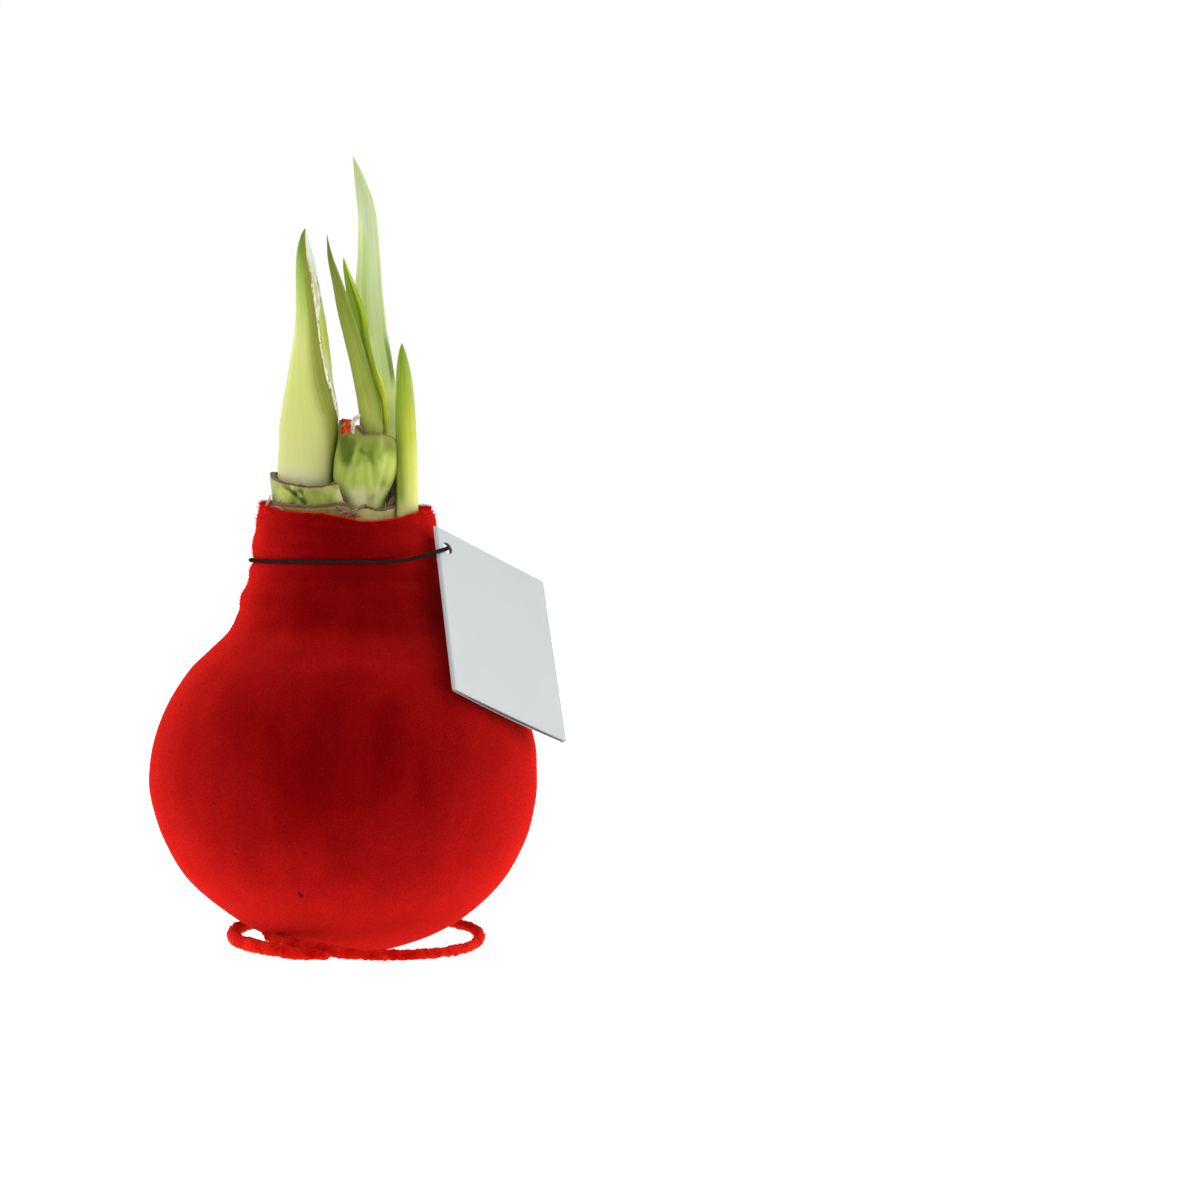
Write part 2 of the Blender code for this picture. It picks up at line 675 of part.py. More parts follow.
def sheath_ring(share, wall, low):
    """A ring of the sheath, a share of the way from a height to the uneven rim."""
    ring = []
    for k in range(SHEATH_SIDES):
        turn = math.tau * k / SHEATH_SIDES
        top = between(SHEATH_RIM, (math.degrees(turn) + 180) % 360 - 180)[0]
        height = low + (top - low) * share
        x, y, half, deep = between(SHEATH_STATIONS, height)
        stand = fold(turn, height) - wall
        across = (half + stand) * math.cos(turn)
        ring.append(Vector((x + across, y + (deep + stand) * math.sin(turn), height)))
    return ring


def make_sheath():
    """The cut sheath: a creased cup with an uneven upper edge, open for the leaves."""
    rings = [sheath_ring(share, 0.0, FOOT) for share in SHEATH_OUTER_ROWS]
    rings += [sheath_ring(share, SHEATH_WALL, SHEATH_FLOOR) for share in SHEATH_INNER_ROWS]
    return solid("leaf_sheath", *stack(rings), finish("sheath_green", (0.42, 0.55, 0.18), 0.5))


def make_scale(name, plan, wall, slant, flare, top, crease, colour):
    """A cut scale that stands on the bulb's top, with a flared and slightly creased upper part."""
    line = smooth_line([(x, y, 0.0) for x, y in plan], SCALE_POINTS + 1)
    stations = [(k / SCALE_POINTS, *point) for k, point in enumerate(line)]
    outer, inner = [], []
    for i in range(SCALE_ROWS + 1):
        rise = i / SCALE_ROWS
        rows = ([], [])
        for k in range(SCALE_COLUMNS + 1):
            share = slant * rise + (1 - slant * rise) * k / SCALE_COLUMNS
            point = Vector(between(stations, share))
            ahead, behind = Vector(between(stations, share + 0.02)), Vector(between(stations, share - 0.02))
            along = (ahead - behind).normalized()
            out = Vector((-along.y, along.x, 0.0))
            height = FOOT + (between(top, share)[0] - FOOT) * rise
            stand = flare * rise * rise + crease * rise * math.sin(19.0 * share + 1.4 * rise)
            rows[0].append(Vector((point.x, point.y, height)) + out * stand)
            rows[1].append(Vector((point.x, point.y, height)) + out * (stand - wall))
        outer.append(rows[0])
        inner.append(rows[1])
    return solid(name, *slab(outer, inner), finish(name + "_skin", colour, 0.6))


def main():
    clear_scene()
    for part in (make_coat(), make_bulb()):
        bore_for_spike(part)
    make_wire()
    make_bud()
    for name, leaf in LEAVES.items():
        make_leaf(name, **leaf)
    make_sheath()
    for name, scale in SCALES.items():
        make_scale(name, **scale)
    make_tag()
    make_cord()


main()
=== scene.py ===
# Amaryllis bulb in a red velvet coat, on its flocked wire ring, with bud, young leaves and a tag.
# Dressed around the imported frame. X is right, Y is away from the camera, Z is up.
# Sizes in the dictionaries are millimetres unless a note says otherwise; mm turns them into metres.

import math
import random

import bpy
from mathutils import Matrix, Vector, noise


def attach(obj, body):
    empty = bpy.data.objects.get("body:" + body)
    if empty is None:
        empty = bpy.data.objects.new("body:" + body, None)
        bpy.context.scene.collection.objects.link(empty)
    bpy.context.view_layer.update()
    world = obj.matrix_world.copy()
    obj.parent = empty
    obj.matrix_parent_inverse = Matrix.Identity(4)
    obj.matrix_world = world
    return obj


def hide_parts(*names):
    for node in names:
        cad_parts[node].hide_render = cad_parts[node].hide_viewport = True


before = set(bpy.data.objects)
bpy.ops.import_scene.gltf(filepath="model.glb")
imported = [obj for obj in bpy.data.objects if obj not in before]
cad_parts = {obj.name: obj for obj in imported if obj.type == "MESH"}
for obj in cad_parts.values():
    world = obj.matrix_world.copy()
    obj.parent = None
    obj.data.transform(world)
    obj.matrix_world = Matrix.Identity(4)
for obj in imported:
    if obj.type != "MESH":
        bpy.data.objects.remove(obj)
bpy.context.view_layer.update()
print("frame loaded with", len(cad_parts), "nodes")

mm = 0.001
weld = 0.01 * mm                    # corners nearer than this are one


# Picking, edit mode and finishing

def pickNone():
    bpy.ops.object.select_all(action="DESELECT")


def pickOnly(piece):
    pickNone()
    piece.select_set(True)
    bpy.context.view_layer.objects.active = piece


def openEdit():
    bpy.ops.object.mode_set(mode="EDIT")
    bpy.ops.mesh.select_all(action="SELECT")


def closeEdit():
    bpy.ops.object.mode_set(mode="OBJECT")


def applyAll(piece):
    pickOnly(piece)
    for modifier in list(piece.modifiers):
        bpy.ops.object.modifier_apply(modifier=modifier.name)


def smoothShade(piece, degrees=60):
    pickOnly(piece)
    bpy.ops.object.shade_smooth_by_angle(angle=math.radians(degrees))


def named(name):
    piece = bpy.context.object
    piece.name = name
    piece.data.name = name
    return piece


def finishPiece(piece, material, slot, *nodes):
    piece.data.materials.clear()
    piece.data.materials.append(material)
    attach(piece, "root")
    if nodes:
        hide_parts(*nodes)


# Curves and unevenness

def between(stations, at):
    # the other columns of the stations at one value of their first column, on an even curve
    at = min(max(at, stations[0][0]), stations[-1][0])
    last = len(stations) - 2
    k = min(sum(1 for station in stations[1:] if station[0] < at), last)
    before, after = stations[max(k - 1, 0)], stations[min(k + 2, last + 1)]
    low, high = stations[k], stations[k + 1]
    span = high[0] - low[0]
    t = (at - low[0]) / span
    result = []
    for i in range(1, len(low)):
        slopeLow = (high[i] - before[i]) / (high[0] - before[0])
        slopeHigh = (after[i] - low[i]) / (after[0] - low[0])
        result.append(
            low[i] * (2 * t**3 - 3 * t**2 + 1)
            + span * slopeLow * (t**3 - 2 * t**2 + t)
            + high[i] * (3 * t**2 - 2 * t**3)
            + span * slopeHigh * (t**3 - t**2)
        )
    return result


def smoothLine(points, count):
    points = [Vector(point) for point in points]
    lengths = [0.0]
    for a, b in zip(points, points[1:]):
        lengths.append(lengths[-1] + (b - a).length)
    stations = [(s, *p) for s, p in zip(lengths, points)]
    return [Vector(between(stations, lengths[-1] * i / (count - 1))) for i in range(count)]


def ringLine(turns, centreX):
    # points of a ring given as (degrees, radius, height)
    return [Vector((centreX + radius * math.cos(math.radians(degrees)), radius * math.sin(math.radians(degrees)),
                    height)) for degrees, radius, height in turns]


def hump(value, middle, width):
    return math.exp(-((value - middle) / width) ** 2)


def share01(value):
    return min(max(value, 0.0), 1.0)


def angleApart(a, b):
    return (a - b + 180) % 360 - 180


def rough(x, y, z, seed=0.0):
    return noise.noise(Vector((x + seed * 7.3, y - seed * 3.1, z + seed)))


# Ways to make a mesh

def makeSheet(name, columns, rows, place):
    # a grid whose u runs across and v runs up, put in its place; its body thins at the sides and the tip
    pickNone()
    bpy.ops.mesh.primitive_grid_add(x_subdivisions=columns, y_subdivisions=rows, size=2, calc_uvs=True)
    piece = named(name)
    body = piece.vertex_groups.new(name="body")
    for corner in piece.data.vertices:
        side, end = abs(corner.co.x), (1 - corner.co.y) / 2
        body.add([corner.index], (1 - 0.75 * side**3) * min(1.0, 0.04 + end * 4), "REPLACE")
        corner.co = place((corner.co.x + 1) / 2, (corner.co.y + 1) / 2) * mm
    return piece


def giveBody(piece, thick, offset=-1.0, thinEdge=None, levels=0):
    solid = piece.modifiers.new("body", "SOLIDIFY")
    solid.thickness = thick * mm
    solid.offset = offset
    if thinEdge is not None:
        solid.vertex_group = "body"
        solid.thickness_vertex_group = thinEdge
    if levels:
        soft = piece.modifiers.new("soft", "SUBSURF")
        soft.levels = levels
        soft.render_levels = levels
    applyAll(piece)
    piece.vertex_groups.clear()


def closeSeam(piece, fill=False):
    pickOnly(piece)
    openEdit()
    bpy.ops.mesh.remove_doubles(threshold=weld)
    if fill:
        bpy.ops.mesh.select_all(action="DESELECT")
        bpy.ops.mesh.select_non_manifold()
        bpy.ops.mesh.fill_holes(sides=0)
        bpy.ops.mesh.select_all(action="SELECT")
        bpy.ops.mesh.normals_make_consistent(inside=False)
    closeEdit()


def spinProfile(name, profile, sides):
    # profile of (radius, height) from the axis out and back to the axis, turned once round
    pickNone()
    bpy.ops.mesh.primitive_plane_add(size=mm)
    piece = named(name)
    openEdit()
    bpy.ops.mesh.merge(type="CENTER")
    bpy.ops.transform.translate(value=(profile[0][0] * mm, 0, profile[0][1] * mm))
    for a, b in zip(profile, profile[1:]):
        step = ((b[0] - a[0]) * mm, 0, (b[1] - a[1]) * mm)
        bpy.ops.mesh.extrude_vertices_move(TRANSFORM_OT_translate={"value": step})
    bpy.ops.mesh.select_all(action="SELECT")
    bpy.ops.mesh.spin(steps=sides, angle=math.tau, center=(0, 0, 0), axis=(0, 0, 1))
    bpy.ops.mesh.select_all(action="SELECT")
    bpy.ops.mesh.remove_doubles(threshold=weld / 2)
    bpy.ops.mesh.normals_make_consistent(inside=False)
    closeEdit()
    return piece


def threadCurve(name, line, radii, closed=False, sides=3):
    # a round strand along a line, made as a bevelled curve and turned into a mesh
    pickNone()
    bpy.ops.curve.primitive_nurbs_path_add()
    curve = bpy.context.object
    curve.data.splines.clear()
    spline = curve.data.splines.new("POLY")
    spline.points.add(len(line) - 1)
    for point, place, radius in zip(spline.points, line, radii):
        point.co = (*(place * mm), 1)
        point.radius = radius
    spline.use_cyclic_u = closed
    curve.data.dimensions = "3D"
    curve.data.bevel_depth = mm
    curve.data.bevel_resolution = sides
    curve.data.use_fill_caps = not closed
    bpy.ops.object.convert(target="MESH")
    piece = named(name)
    closeSeam(piece)
    return piece


# Material tools: each puts a node in the tree and gives back its output

def feed(tree, made, inputs):
    for key, value in inputs.items():
        if isinstance(value, bpy.types.NodeSocket):
            tree.links.new(value, made.inputs[key])
        else:
            made.inputs[key].default_value = value
    return made.outputs


def put(tree, kind, inputs, **settings):
    made = tree.nodes.new("ShaderNode" + kind)
    for key, value in settings.items():
        setattr(made, key, value)
    return feed(tree, made, inputs)


def calc(tree, operation, a, b=0.0, clamp=False):
    return put(tree, "Math", {0: a, 1: b}, operation=operation, use_clamp=clamp)[0]


def times(tree, a, b):
    return calc(tree, "MULTIPLY", a, b)


def plus(tree, a, b):
    return calc(tree, "ADD", a, b)


def swing(tree, value, size):
    # a value from 0 to 1 turned into one that goes either way from none
    return times(tree, calc(tree, "SUBTRACT", value, 0.5), size)


def measure(tree, operation, a, b, output=0):
    return put(tree, "VectorMath", {0: a, 1: b}, operation=operation)[output]


def mixColour(tree, factor, a, b):
    a = a if isinstance(a, bpy.types.NodeSocket) else (*a, 1.0)
    b = b if isinstance(b, bpy.types.NodeSocket) else (*b, 1.0)
    return put(tree, "Mix", {0: factor, 6: a, 7: b}, data_type="RGBA")[2]


def ease(tree, value, low, high, toLow=0.0, toHigh=1.0, kind="SMOOTHSTEP"):
    sockets = {"Value": value, "From Min": low, "From Max": high, "To Min": toLow, "To Max": toHigh}
    return put(tree, "MapRange", sockets, interpolation_type=kind)[0]


def tinted(tree, colour, value, low, high, amount, tint):
    # the colour goes over to the tint, by an amount, as the value goes from low to high
    return mixColour(tree, ease(tree, value, low, high, 0.0, amount), colour, tint)


def cloud(tree, vector, scale, detail=2.0):
    return put(tree, "TexNoise", {"Vector": vector, "Scale": scale, "Detail": detail})[0]


def cells(tree, vector, scale):
    return put(tree, "TexVoronoi", {"Vector": vector, "Scale": scale})[0]


def stretch(tree, vector, scale):
    return put(tree, "Mapping", {"Vector": vector, "Scale": scale})[0]


def split(tree, vector):
    return put(tree, "SeparateXYZ", {0: vector})


def gradient(tree, factor, stops):
    made = tree.nodes.new("ShaderNodeValToRGB")
    elements = made.color_ramp.elements
    elements.remove(elements[-1])
    elements[0].position = stops[0][0]
    elements[0].color = (*stops[0][1], 1.0)
    for position, colour in stops[1:]:
        elements.new(position).color = (*colour, 1.0)
    tree.links.new(factor, made.inputs[0])
    return made.outputs[0]


def startMaterial(name):
    material = bpy.data.materials.new(name)
    material.use_nodes = True
    tree = material.node_tree
    return material, tree, tree.nodes["Principled BSDF"], put(tree, "TexCoord", {})


def setShader(shader, **values):
    for key, value in values.items():
        shader.inputs[key.replace("_", " ")].default_value = value


def addBump(tree, shader, height, strength, distance):
    made = put(tree, "Bump", {"Height": height, "Strength": strength, "Distance": distance * mm})
    tree.links.new(made[0], shader.inputs["Normal"])


def startGroup(name, inputs, outputs):
    tree = bpy.data.node_groups.new(name, "ShaderNodeTree")
    for sockets, side in ((inputs, "INPUT"), (outputs, "OUTPUT")):
        for socket, kind in sockets:
            tree.interface.new_socket(socket, in_out=side, socket_type="NodeSocket" + kind)
    return tree, tree.nodes.new("NodeGroupInput").outputs, tree.nodes.new("NodeGroupOutput").inputs


def useGroup(tree, group, inputs):
    made = tree.nodes.new("ShaderNodeGroup")
    made.node_tree = group
    return feed(tree, made, inputs)


def makePileGroup():
    # short flock: a fine grain of fibres and soft patches where the pile leans another way
    tree, take, give = startGroup(
        "pileGrain", (("Place", "Vector"), ("Grain", "Float"), ("Patch", "Float")),
        (("Grain", "Float"), ("Patch", "Float"), ("Height", "Float")))
    fibres = cloud(tree, take["Place"], take["Grain"], 3.0)
    patches = cloud(tree, stretch(tree, take["Place"], (1.0, 1.0, 0.45)), take["Patch"], 3.0)
    tufts = cells(tree, take["Place"], take["Grain"])
    tree.links.new(ease(tree, fibres, 0.3, 0.7), give["Grain"])
    tree.links.new(ease(tree, patches, 0.3, 0.7), give["Patch"])
    tree.links.new(calc(tree, "SUBTRACT", fibres, times(tree, tufts, 0.35)), give["Height"])
    return tree


def makeVeinGroup():
    # lengthwise veins that follow a leaf's own u, a little uneven, with faint streaks; none at the tip
    tree, take, give = startGroup(
        "plantVeins", (("UV", "Vector"), ("Count", "Float"), ("Wander", "Float")),
        (("Vein", "Float"), ("Streak", "Float")))
    across, along = split(tree, take["UV"])[:2]
    drift = times(tree, cloud(tree, stretch(tree, take["UV"], (3.0, 2.0, 1.0)), 1.0), take["Wander"])
    turns = times(tree, plus(tree, across, drift), take["Count"])
    wave = calc(tree, "PINGPONG", turns, 0.5)
    fade = ease(tree, along, 0.94, 0.7)
    tree.links.new(times(tree, ease(tree, wave, 0.26, 0.5), fade), give["Vein"])
    wide = put(tree, "CombineXYZ", {0: turns, 1: times(tree, along, 2.5), 2: 0.0})[0]
    tree.links.new(times(tree, ease(tree, cloud(tree, wide, 0.7, 3.0), 0.35, 0.68), fade), give["Streak"])
    return tree


def makeRimGroup():
    # the dried brown line along a cut upper edge, where v comes near 1
    tree, take, give = startGroup(
        "cutRim", (("UV", "Vector"), ("Start", "Float"), ("Wobble", "Float")),
        (("Rim", "Float"), ("Near", "Float")))
    ragged = cloud(tree, stretch(tree, take["UV"], (38.0, 9.0, 1.0)), 1.0, 3.0)
    level = plus(tree, split(tree, take["UV"])[1], swing(tree, ragged, take["Wobble"]))
    tree.links.new(ease(tree, level, take["Start"], plus(tree, take["Start"], 0.035)), give["Rim"])
    lower = calc(tree, "SUBTRACT", take["Start"], 0.16)
    tree.links.new(ease(tree, level, lower, take["Start"]), give["Near"])
    return tree


pileGrain = makePileGroup()
plantVeins = makeVeinGroup()
cutRim = makeRimGroup()


def flockMaterial(name, look):
    # red pile with painted sheen: deep where it faces the eye, lit where it turns away, with painted floor-bounce
    # light near the floor and a painted rim highlight at the very edge
    material, tree, shader, coords = startMaterial(name)
    place = coords["Object"]
    pile = useGroup(tree, pileGrain, {"Place": place, "Grain": look["grain"], "Patch": look["patch"]})
    # painted sheen: the colour goes from deep to lit as the surface turns away from the eye
    paintedSheenShare = put(tree, "LayerWeight", {"Blend": look["blend"]})["Facing"]
    paintedSheenShare = calc(tree, "POWER", paintedSheenShare, look["curve"])
    shade = swing(tree, pile["Patch"], look["patchDepth"])
    # painted floor-bounce light: lighter towards the floor, below the top of its span
    low, high = look["paintedBounceSpan"]
    shade = plus(tree, shade, ease(tree, split(tree, place)[2], high * mm, low * mm, 0.0, look["foot"]))
    paintedSheenShare = calc(tree, "ADD", paintedSheenShare, shade, clamp=True)
    colour = mixColour(tree, paintedSheenShare, look["deep"], look["lit"])
    # painted rim highlight: a bright edge where the surface turns fully away from the eye
    paintedRim = put(tree, "LayerWeight", {"Blend": 0.5})["Facing"]
    colour = tinted(tree, colour, paintedRim, 0.86, 1.0, look["paintedRimDepth"], look["paintedRim"])
    dark = times(tree, calc(tree, "SUBTRACT", 1.0, pile["Grain"]), look["grainDepth"])
    colour = mixColour(tree, dark, colour, look["shade"])
    colour = tinted(tree, colour, cloud(tree, place, look["specks"], 1.0), 0.77, 0.82, 0.75, look["speck"])
    tree.links.new(colour, shader.inputs["Base Color"])
    setShader(shader, Roughness=1.0, Specular_IOR_Level=0.0, Sheen_Weight=look["sheen"], Sheen_Roughness=0.35,
              Sheen_Tint=(1.0, 0.10, 0.05, 1.0))
    addBump(tree, shader, pile["Height"], look["bump"], 0.25)
    return material


plantUsual = {
    "mottleScale": 260.0, "mottle": 0.3, "bands": (), "patches": (), "shadingLines": (), "rough": 0.38, "gloss": 0.14,
    "glow": 0.15, "bump": 0.3,
}


def plantMaterial(name, look):
    # green tissue: colour by height, veins along the piece, dried margins, cut rim and spots
    look = dict(plantUsual, **look)
    material, tree, shader, coords = startMaterial(name)
    place, flat = coords["Object"], coords["UV"]
    height = split(tree, place)[2]
    mottle = cloud(tree, stretch(tree, place, (1.0, 1.0, 0.6)), look["mottleScale"], 3.0)
    low, high = look["span"]
    level = ease(tree, height, low * mm, high * mm, kind="LINEAR")
    colour = gradient(tree, plus(tree, level, swing(tree, mottle, 0.12)), look["stops"])
    across = split(tree, flat)[0]
    for start, end, tint, amount, foot, top in look["bands"]:   # another colour across, between two heights; some are painted shade and some painted light
        mask = ease(tree, across, start, end, 0.0, amount)
        mask = times(tree, mask, ease(tree, height, (foot - 3) * mm, (foot + 3) * mm))
        mask = times(tree, mask, ease(tree, height, (top + 3) * mm, (top - 3) * mm))
        colour = mixColour(tree, mask, colour, tint)
    colour = tinted(tree, colour, mottle, 0.42, 0.68, look["mottle"], look["dark"])
    veins = useGroup(tree, plantVeins, {"UV": flat, "Count": look["veins"], "Wander": 0.05})
    for output, tint in (("Vein", "dark"), ("Streak", "light")):
        colour = mixColour(tree, times(tree, veins[output], look["veinDepth"]), colour, look[tint])
    if "margin" in look:
        width, tint, amount = look["margin"]
        apart = calc(tree, "ABSOLUTE", calc(tree, "SUBTRACT", across, 0.5))
        broken = cloud(tree, stretch(tree, flat, (2.0, 14.0, 1.0)), 1.0, 3.0)
        reach = plus(tree, apart, swing(tree, broken, width * 0.6))
        colour = tinted(tree, colour, reach, 0.5 - width, 0.5, amount, tint)
    if "spots" in look:
        threshold, tint = look["spots"]
        spotted = cloud(tree, stretch(tree, place, (1.0, 1.0, 0.5)), 900.0)
        colour = tinted(tree, colour, spotted, threshold, threshold + 0.05, 0.8, tint)
    for middle, radius, tint, amount in look["patches"]:        # a patch of another colour round a point; some on the sheath are painted light
        apart = measure(tree, "DISTANCE", place, tuple(value * mm for value in middle), "Value")
        reach = plus(tree, apart, swing(tree, mottle, radius * mm))
        colour = tinted(tree, colour, reach, radius * mm, radius * mm * 0.3, amount, tint)
    for start, end, width, tint, amount in look["shadingLines"]:     # painted shading along a line from one place to another: painted shade in creases, painted highlights on ridges
        start, end = Vector(start) * mm, Vector(end) * mm
        along = tuple((end - start).normalized())
        apart = measure(tree, "SUBTRACT", place, tuple(start))
        reach = measure(tree, "DOT_PRODUCT", apart, along, "Value")
        reach = put(tree, "Clamp", {0: reach, 1: 0.0, 2: (end - start).length})[0]
        nearest = put(tree, "VectorMath", {0: along, 3: reach}, operation="SCALE")[0]
        apart = measure(tree, "DISTANCE", apart, nearest, "Value")
        colour = tinted(tree, colour, apart, width * mm, width * mm * 0.2, amount, tint)
    if "rim" in look:                                           # a cut edge and the colour next to it
        start, wobble, tint, besides = look["rim"]
        edge = useGroup(tree, cutRim, {"UV": flat, "Start": start, "Wobble": wobble})
        colour = mixColour(tree, times(tree, edge["Near"], 0.35), colour, besides)
        colour = mixColour(tree, edge["Rim"], colour, tint)
    if "flock" in look:                                         # red flock left on part of a green piece
        middle, radius, tint = look["flock"]
        apart = measure(tree, "DISTANCE", place, tuple(value * mm for value in middle), "Value")
        broken = ease(tree, cloud(tree, place, 1100.0, 3.0), 0.42, 0.50)
        mask = times(tree, ease(tree, apart, radius * mm, radius * mm * 0.55), broken)
        colour = mixColour(tree, mask, colour, tint)
    tree.links.new(colour, shader.inputs["Base Color"])
    tree.links.new(plus(tree, times(tree, mottle, 0.16), look["rough"]), shader.inputs["Roughness"])
    setShader(shader, Specular_IOR_Level=look["gloss"], Subsurface_Weight=look["glow"], Subsurface_Scale=0.004,
              Subsurface_Radius=(0.6, 1.0, 0.25))
    addBump(tree, shader, plus(tree, veins["Vein"], mottle), look["bump"], 0.12)
    return material


# Camera, light and floor

studio = {
    "cameraPlace": (0.0, -1.5, 0.130), "lens": 180, "sensor": 36,       # metres, lens in millimetres
    "yaw": 2.3908102, "pitch": 1.609564,                                # degrees right and down
    "floorSide": 6.0, "floorGlow": 1.0,                                 # metres, watts per square metre
    "softboxes": (                                      # name, place, aim, width, height, watts
        ("softbox_left", (-1.1, -0.75, 0.75), (0.0, 0.0, 0.09), 0.9, 1.2, 5.0),
        ("softbox_right", (1.2, 0.35, 0.45), (0.0, 0.0, 0.08), 0.6, 1.1, 10.5),
        ("softbox_back_left", (-1.0, 0.7, 0.5), (0.0, 0.0, 0.08), 0.6, 1.1, 4.0),
        ("softbox_top", (0.0, 0.1, 1.3), (0.0, 0.0, 0.1), 1.0, 1.0, 3.0),
    ),
}


def setStudio():
    scene = bpy.context.scene
    pickNone()
    turn = (math.pi / 2 - math.radians(studio["pitch"]), 0, -math.radians(studio["yaw"]))
    bpy.ops.object.camera_add(location=studio["cameraPlace"], rotation=turn)
    camera = bpy.context.object
    camera.name = "camera"
    camera.data.lens = studio["lens"]
    camera.data.sensor_width = studio["sensor"]
    camera.data.clip_start = 0.01
    scene.camera = camera
    scene.view_settings.view_transform = "Standard"
    world = bpy.data.worlds.new("paleRoom")
    world.use_nodes = True
    sky = world.node_tree.nodes["Background"]
    sky.inputs["Color"].default_value = (1.0, 1.0, 1.0, 1.0)
    sky.inputs["Strength"].default_value = 1.0
    scene.world = world
    for name, place, aim, width, height, watts in studio["softboxes"]:
        bpy.ops.object.light_add(type="AREA", location=place)
        light = bpy.context.object
        light.name = name
        light.rotation_euler = (Vector(aim) - Vector(place)).to_track_quat("-Z", "Y").to_euler()
        light.data.shape = "RECTANGLE"
        light.data.size = width
        light.data.size_y = height
        light.data.energy = watts
    pickNone()
    bpy.ops.mesh.primitive_plane_add(size=studio["floorSide"])
    floor = named("floor")
    openEdit()
    bpy.ops.mesh.subdivide(number_cuts=12)
    closeEdit()
    material, tree, shader, coords = startMaterial("paleFloor")
    tint = mixColour(tree, cloud(tree, coords["Object"], 30.0, 3.0), (0.66, 0.66, 0.66), (0.70, 0.70, 0.695))
    tree.links.new(tint, shader.inputs["Base Color"])
    setShader(shader, Roughness=0.9, Specular_IOR_Level=0.1, Emission_Color=(1.0, 1.0, 1.0, 1.0),
              Emission_Strength=studio["floorGlow"])
    floor.data.materials.append(material)
    print("studio set")


setStudio()


# Velvet coat

cordHeight = 97.9
allRound = 1e9                      # a span in degrees so wide that it has no sides

coat = {
    "outline": (                                        # radius, height, shift of the axis to the right
        (6.5, 0.0, 0.0), (11.0, 0.9, 0.0), (20.6, 4.1, 0.0), (29.8, 9.2, -0.3), (39.7, 18.0, -1.1),
        (45.4, 28.0, -1.4), (48.1, 38.1, -1.8), (48.5, 44.1, -1.9), (47.6, 52.6, -1.6), (44.0, 62.2, -1.5),
        (38.7, 70.6, -1.4), (33.9, 75.4, -1.3), (28.6, 80.8, -1.2), (26.2, 86.4, -1.1), (25.2, 90.6, -1.1),
        (23.9, 93.4, -1.1), (24.1, 95.9, -1.0), (23.6, 98.8, -1.0), (23.7, 102.3, -1.0), (22.8, 105.7, -0.9),
        (22.4, 108.7, -0.9), (21.5, 111.3, -1.0),
    ),
    "wall": 1.6, "sides": 216, "rings": 150, "innerRings": 36, "lip": 0.8, "lipSteps": 9,
    "rimFrom": 99.0,                                    # above this the neck follows the uneven rim
    "rim": (                                            # direction in degrees, height of the cut edge
        (-180, 111.6), (-156, 110.4), (-121, 109.3), (-100, 108.9), (-88, 108.1), (-76, 107.3), (-66, 107.3),
        (-52, 108.0), (-31, 109.2), (-11, 110.1), (30, 110.6), (70, 110.9), (110, 111.3), (150, 111.3),
        (180, 111.6),
    ),
    "centred": 8.0,                                     # nearer the axis than this nothing is moved aside
    "rimRough": 0.35, "lipRough": 0.25,
    "waves": ((3, 0.7, 0.22), (5, 2.0, 0.16)),          # waves round the belly, phase, size
    "bellyRadius": 48.0, "bellyFrom": 12.0,             # where the waves of the belly are full
    "neck": (80.0, 8.0), "wrinkledSide": (-160, 65, 0.35),      # height and run-in; direction, width, the least
    "lumps": (("belly", 0.22, 2.2, 17.0), ("side", 0.75, 1.1, 4.6), ("neck", 0.32, 2.0, 2.1)),
    "folds": (  # size, height, its slope, width, direction, span in degrees
        (-0.45, 90.3, 1.2, 1.5, -100, 32), (0.6, 89.0, 0, 4.0, 180, 40), (-0.35, 20.0, 0, 14.0, 0, allRound),
        (-0.3, 101.2, -1.4, 1.1, -150, 50), (-0.5, cordHeight, 0, 0.8, 0, allRound),
    ),
}
velvetLook = {
    # deep and lit are the two ends of the painted sheen
    "deep": (0.125, 0.0008, 0.0012), "lit": (0.63, 0.012, 0.010), "shade": (0.05, 0.0, 0.0005),
    # the rim colour and its depth give a painted rim highlight
    "speck": (0.03, 0.0, 0.001), "paintedRim": (1.0, 0.10, 0.05), "paintedRimDepth": 0.22,
    "foot": 0.20, "paintedBounceSpan": (-4, 66),                 # painted floor-bounce light: how much lighter near the floor, between two heights
    "blend": 0.46, "curve": 1.15, "patchDepth": 0.09, "grainDepth": 0.36,
    "grain": 2500.0, "patch": 120.0, "specks": 260.0, "sheen": 0.12, "bump": 0.8,
}


def coatProfile():
    line = smoothLine([(radius, height, 0) for radius, height, shift in coat["outline"]], coat["rings"])
    outer = [(point.x, point.y) for point in line]
    inner = []
    for behind, here, ahead in zip(line, line[1:], line[2:]):
        along = (ahead - behind).normalized()
        inner.append((here.x - along.y * coat["wall"], here.y + along.x * coat["wall"]))
    inner = inner[::max(1, len(inner) // coat["innerRings"])]
    edge, top = outer[-1]
    lip = []
    for i in range(1, coat["lipSteps"]):
        turn = math.pi * i / coat["lipSteps"]
        across = (1 - math.cos(turn)) / 2
        lip.append((edge - coat["wall"] * across, top + coat["lip"] * math.sin(turn) ** 0.8))
    inner = [point for point in inner if point[1] < top - 0.4]
    return [(0.0, 0.0), (3.2, 0.0)] + outer + lip + [(edge - coat["wall"], top - 0.1)] + inner[::-1] + [
        (0.0, coat["wall"])]


def axisShift(height):
    stations = [(z, shift) for radius, z, shift in coat["outline"]]
    return between(stations, height)[0]


